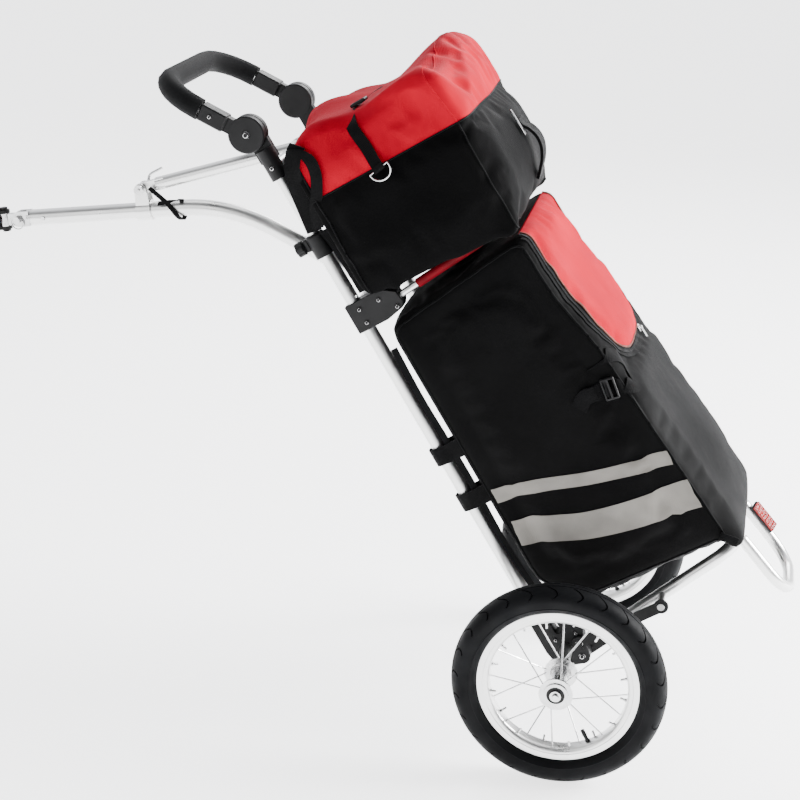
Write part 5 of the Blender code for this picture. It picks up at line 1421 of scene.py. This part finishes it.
class TRAILER_OT_straps(bpy.types.Operator):
    """Models the straps that tie the bags to the rails, the tie on the towing arm, and a thin dark strip on
    each rail that is a painted reflection of the black bag in the tube.
    """
    bl_idname = "trailer.straps"
    bl_label = "Straps"

    def execute(self, context):
        straps = context.scene.trailer_straps
        tape = webbing("rail_strap_webbing", context.scene.trailer_colours.webbing)
        bag = bpy.data.objects["upper_bag_shell"]
        made = [rail_loop(f"{word}_rail_strap_{number}", side, height, straps)
                for side, word in SIDES for number, height in enumerate(RAIL_STRAP_HEIGHTS, 1)]
        lefts = (
            # A thin dark strip on the rail's near side: a painted reflection of the black bag in the tube,
            # not a strap.
            band("left_rail_tape", RAIL_PAINTED_REFLECTION, 0.01, 0.001),
            band("left_bag_tape", BESIDE_BAG, 0.014, 0.001),
            band("left_socket_strap", outside(bag, SOCKET_STRAP, 0.004), 0.022, straps.thickness),
            band("left_socket_branch", outside(bag, SOCKET_BRANCH, 0.0022), 0.016, straps.thickness),
        )
        for left in lefts:
            made += [left, outwards(copied(left, left.name.replace("left", "right"), MIRROR))]
        for strap in made:
            finish(place(strap, CART), tape, "frame")
        finish(band("arm_tie", ARM_TIE, 0.007, 0.001), tape, "tow_arm")
        return {"FINISHED"}


# The shelf tube's left root and the middle of its front in the cart's frame, and its corner's radius.
SHELF_ROOT = (0.078, 0.133, 0.569)
SHELF_FRONT = (0.205, 0.5815)
SHELF_CORNER = 0.035


class TRAILER_OT_shelf(bpy.types.Operator):
    """Models the coloured sleeve on the shelf's tube, which leaves both ends of it bare."""
    bl_idname = "trailer.shelf"
    bl_label = "Shelf sleeve"

    def execute(self, context):
        red = context.scene.trailer_colours.red_cloth
        x, y, z = SHELF_ROOT
        front, high = SHELF_FRONT
        bend = front - SHELF_CORNER
        near_front = z + (high - z) * (bend - x) / (front - x)
        quarter = [
            (bend + SHELF_CORNER * math.sin(turn), -y + SHELF_CORNER - SHELF_CORNER * math.cos(turn),
             near_front + (high - near_front) * math.sin(turn))
            for turn in (math.radians(angle) for angle in (0, 22.5, 45, 67.5, 90))]
        left = [(x, -y, z), ((x + bend) / 2, -y, (z + near_front) / 2)] + quarter
        path = left + [(front, 0, high)] + [(px, -py, pz) for px, py, pz in left[::-1]]
        sleeve = rounded("shelf_sleeve", path, context.scene.trailer_straps.sleeve, 12)
        made = Shader("sleeve_vinyl", shade(red, 0.35), 0.6, IOR=1.2)
        made.tint(made.noise(30, 4), (0.3, shade(red, 0.22)), (0.7, shade(red, 0.45)))
        made.bump((made.noise(900, 3), 0.0001), (made.noise(70, 3), 0.0003))
        finish(smooth(place(sleeve, CART), 60), made.material, "frame")
        return {"FINISHED"}


# The platform's own frame: its origin is the pivot beside the axle, and X points along its tube.
PLATFORM = Matrix.Translation(CART @ Vector((0.0143, 0, -0.02))) @ swing(-40.2, "Y")

# Screw and rivet heads on both sides: name, body, frame, how far out, radius, height, and places
# in X and Z.
HEADS = (
    ("shelf_bolt", "frame", CART, 0.1463, 0.0036, 0.0024,
     ((-0.01, 0.576), (-0.01, 0.555), (0.021, 0.5755), (0.04, 0.5555))),
    ("socket_pivot", "sliding_top", CART, 0.1466, 0.0054, 0.0022, ((-0.024, 0.858),)),
    ("sleeve_bolt", "sliding_top", CART, 0.1455, 0.0036, 0.0024, ((-0.016, 0.802),)),
    ("lug_rivet", "frame", CART, 0.145, 0.0032, 0.002, ((-0.0075, 0.019), (0.024, 0.016))),
    ("lug_pivot", "frame", CART, 0.145, 0.0048, 0.002, ((0.0143, -0.02),)),
    ("link_stud", "frame", CART, 0.1511, 0.0052, 0.0014, ((0.0225, 0.002),)),
    ("arm_rivet", "handle", Matrix.Identity(4), 0.1518, 0.0034, 0.0018, ((-0.1851, 0.9011),)),
    ("link_bolt", "platform", PLATFORM, 0.1513, 0.0052, 0.0016, ((0.142, 0),)),
)


class TRAILER_OT_fasteners(bpy.types.Operator):
    """Models the bright screw and rivet heads on the brackets, sockets, lugs and links."""
    bl_idname = "trailer.fasteners"
    bl_label = "Screw heads"

    def execute(self, context):
        bright = steel(context.scene.trailer_colours, "bright_screws")
        for side, word in SIDES:
            for kind, body, where, out, radius, height, spots in HEADS:
                for number, (x, z) in enumerate(spots, 1):
                    name = f"{word}_{kind}_{number}" if where == CART else f"{word}_{kind}"
                    head = button_head(name, (x, side * out, z), side, radius, height)
                    finish(place(head, where), bright, body)
        return {"FINISHED"}


class TRAILER_OT_reflector(bpy.types.Operator):
    """Models the red reflector: a lens of small prisms in a black tray."""
    bl_idname = "trailer.reflector"
    bl_label = "Reflector"

    def execute(self, context):
        colours = context.scene.trailer_colours
        leg = Matrix.Translation((0.273, 0.066, 0))
        where = PLATFORM @ leg @ swing(-25, "Z") @ leg.inverted()
        tray = block("reflector_tray", (0.2832, 0.056, -0.066), (0.2878, 0.076, -0.018), 0.0012)
        sink(tray, lambda co, normal: normal.x > 0.9, 0.0012, 0.001)
        finish(smooth(place(tray, where)), nylon(colours, "tray_nylon"), "platform")
        lens = block("reflector_prisms", (0.287, 0.0574, -0.0646), (0.2915, 0.0746, -0.0194), 0.0006, 1)
        edit(lens)
        pick(lens, "FACE", lambda co, normal: normal.x > 0.9)
        bpy.ops.mesh.subdivide(number_cuts=context.scene.trailer_straps.facets)
        bpy.ops.mesh.inset(use_individual=True, thickness=0.0009, depth=-0.0006)
        done()
        finish(smooth(place(lens, where), 20), red_lens(colours), "platform")
        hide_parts("reflector")
        return {"FINISHED"}


class TRAILER_PT_panel(bpy.types.Panel):
    """Lists the pieces and their settings."""
    bl_idname = "TRAILER_PT_panel"
    bl_label = "Cargo trailer"
    bl_space_type = "VIEW_3D"
    bl_region_type = "UI"
    bl_category = "Trailer"

    def draw(self, context):
        for name in GROUPS:
            group = getattr(context.scene, name)
            box = self.layout.box()
            for setting in group.__annotations__:
                box.prop(group, setting)
        for operator in OPERATORS:
            self.layout.operator(operator.bl_idname)


GROUPS = {
    "trailer_colours": TrailerColours,
    "trailer_wheels": WheelSettings,
    "trailer_bags": BagSettings,
    "trailer_straps": StrapSettings,
    "trailer_stage": StageSettings,
}
OPERATORS = (
    TRAILER_OT_finishes, TRAILER_OT_wheels, TRAILER_OT_lower_bag, TRAILER_OT_upper_bag, TRAILER_OT_straps,
    TRAILER_OT_shelf, TRAILER_OT_fasteners, TRAILER_OT_reflector, TRAILER_OT_stage)
CLASSES = tuple(GROUPS.values()) + OPERATORS + (TRAILER_PT_panel,)


def register():
    for cls in CLASSES:
        bpy.utils.register_class(cls)
    for name, group in GROUPS.items():
        setattr(bpy.types.Scene, name, PointerProperty(type=group))


def unregister():
    for name in GROUPS:
        delattr(bpy.types.Scene, name)
    for cls in reversed(CLASSES):
        bpy.utils.unregister_class(cls)


def main():
    register()
    bpy.ops.trailer.stage()
    bpy.ops.trailer.finishes()
    bpy.ops.trailer.wheels()
    bpy.ops.trailer.lower_bag()
    bpy.ops.trailer.upper_bag()
    bpy.ops.trailer.straps()
    bpy.ops.trailer.shelf()
    bpy.ops.trailer.fasteners()
    bpy.ops.trailer.reflector()


if __name__ == "__main__":
    main()
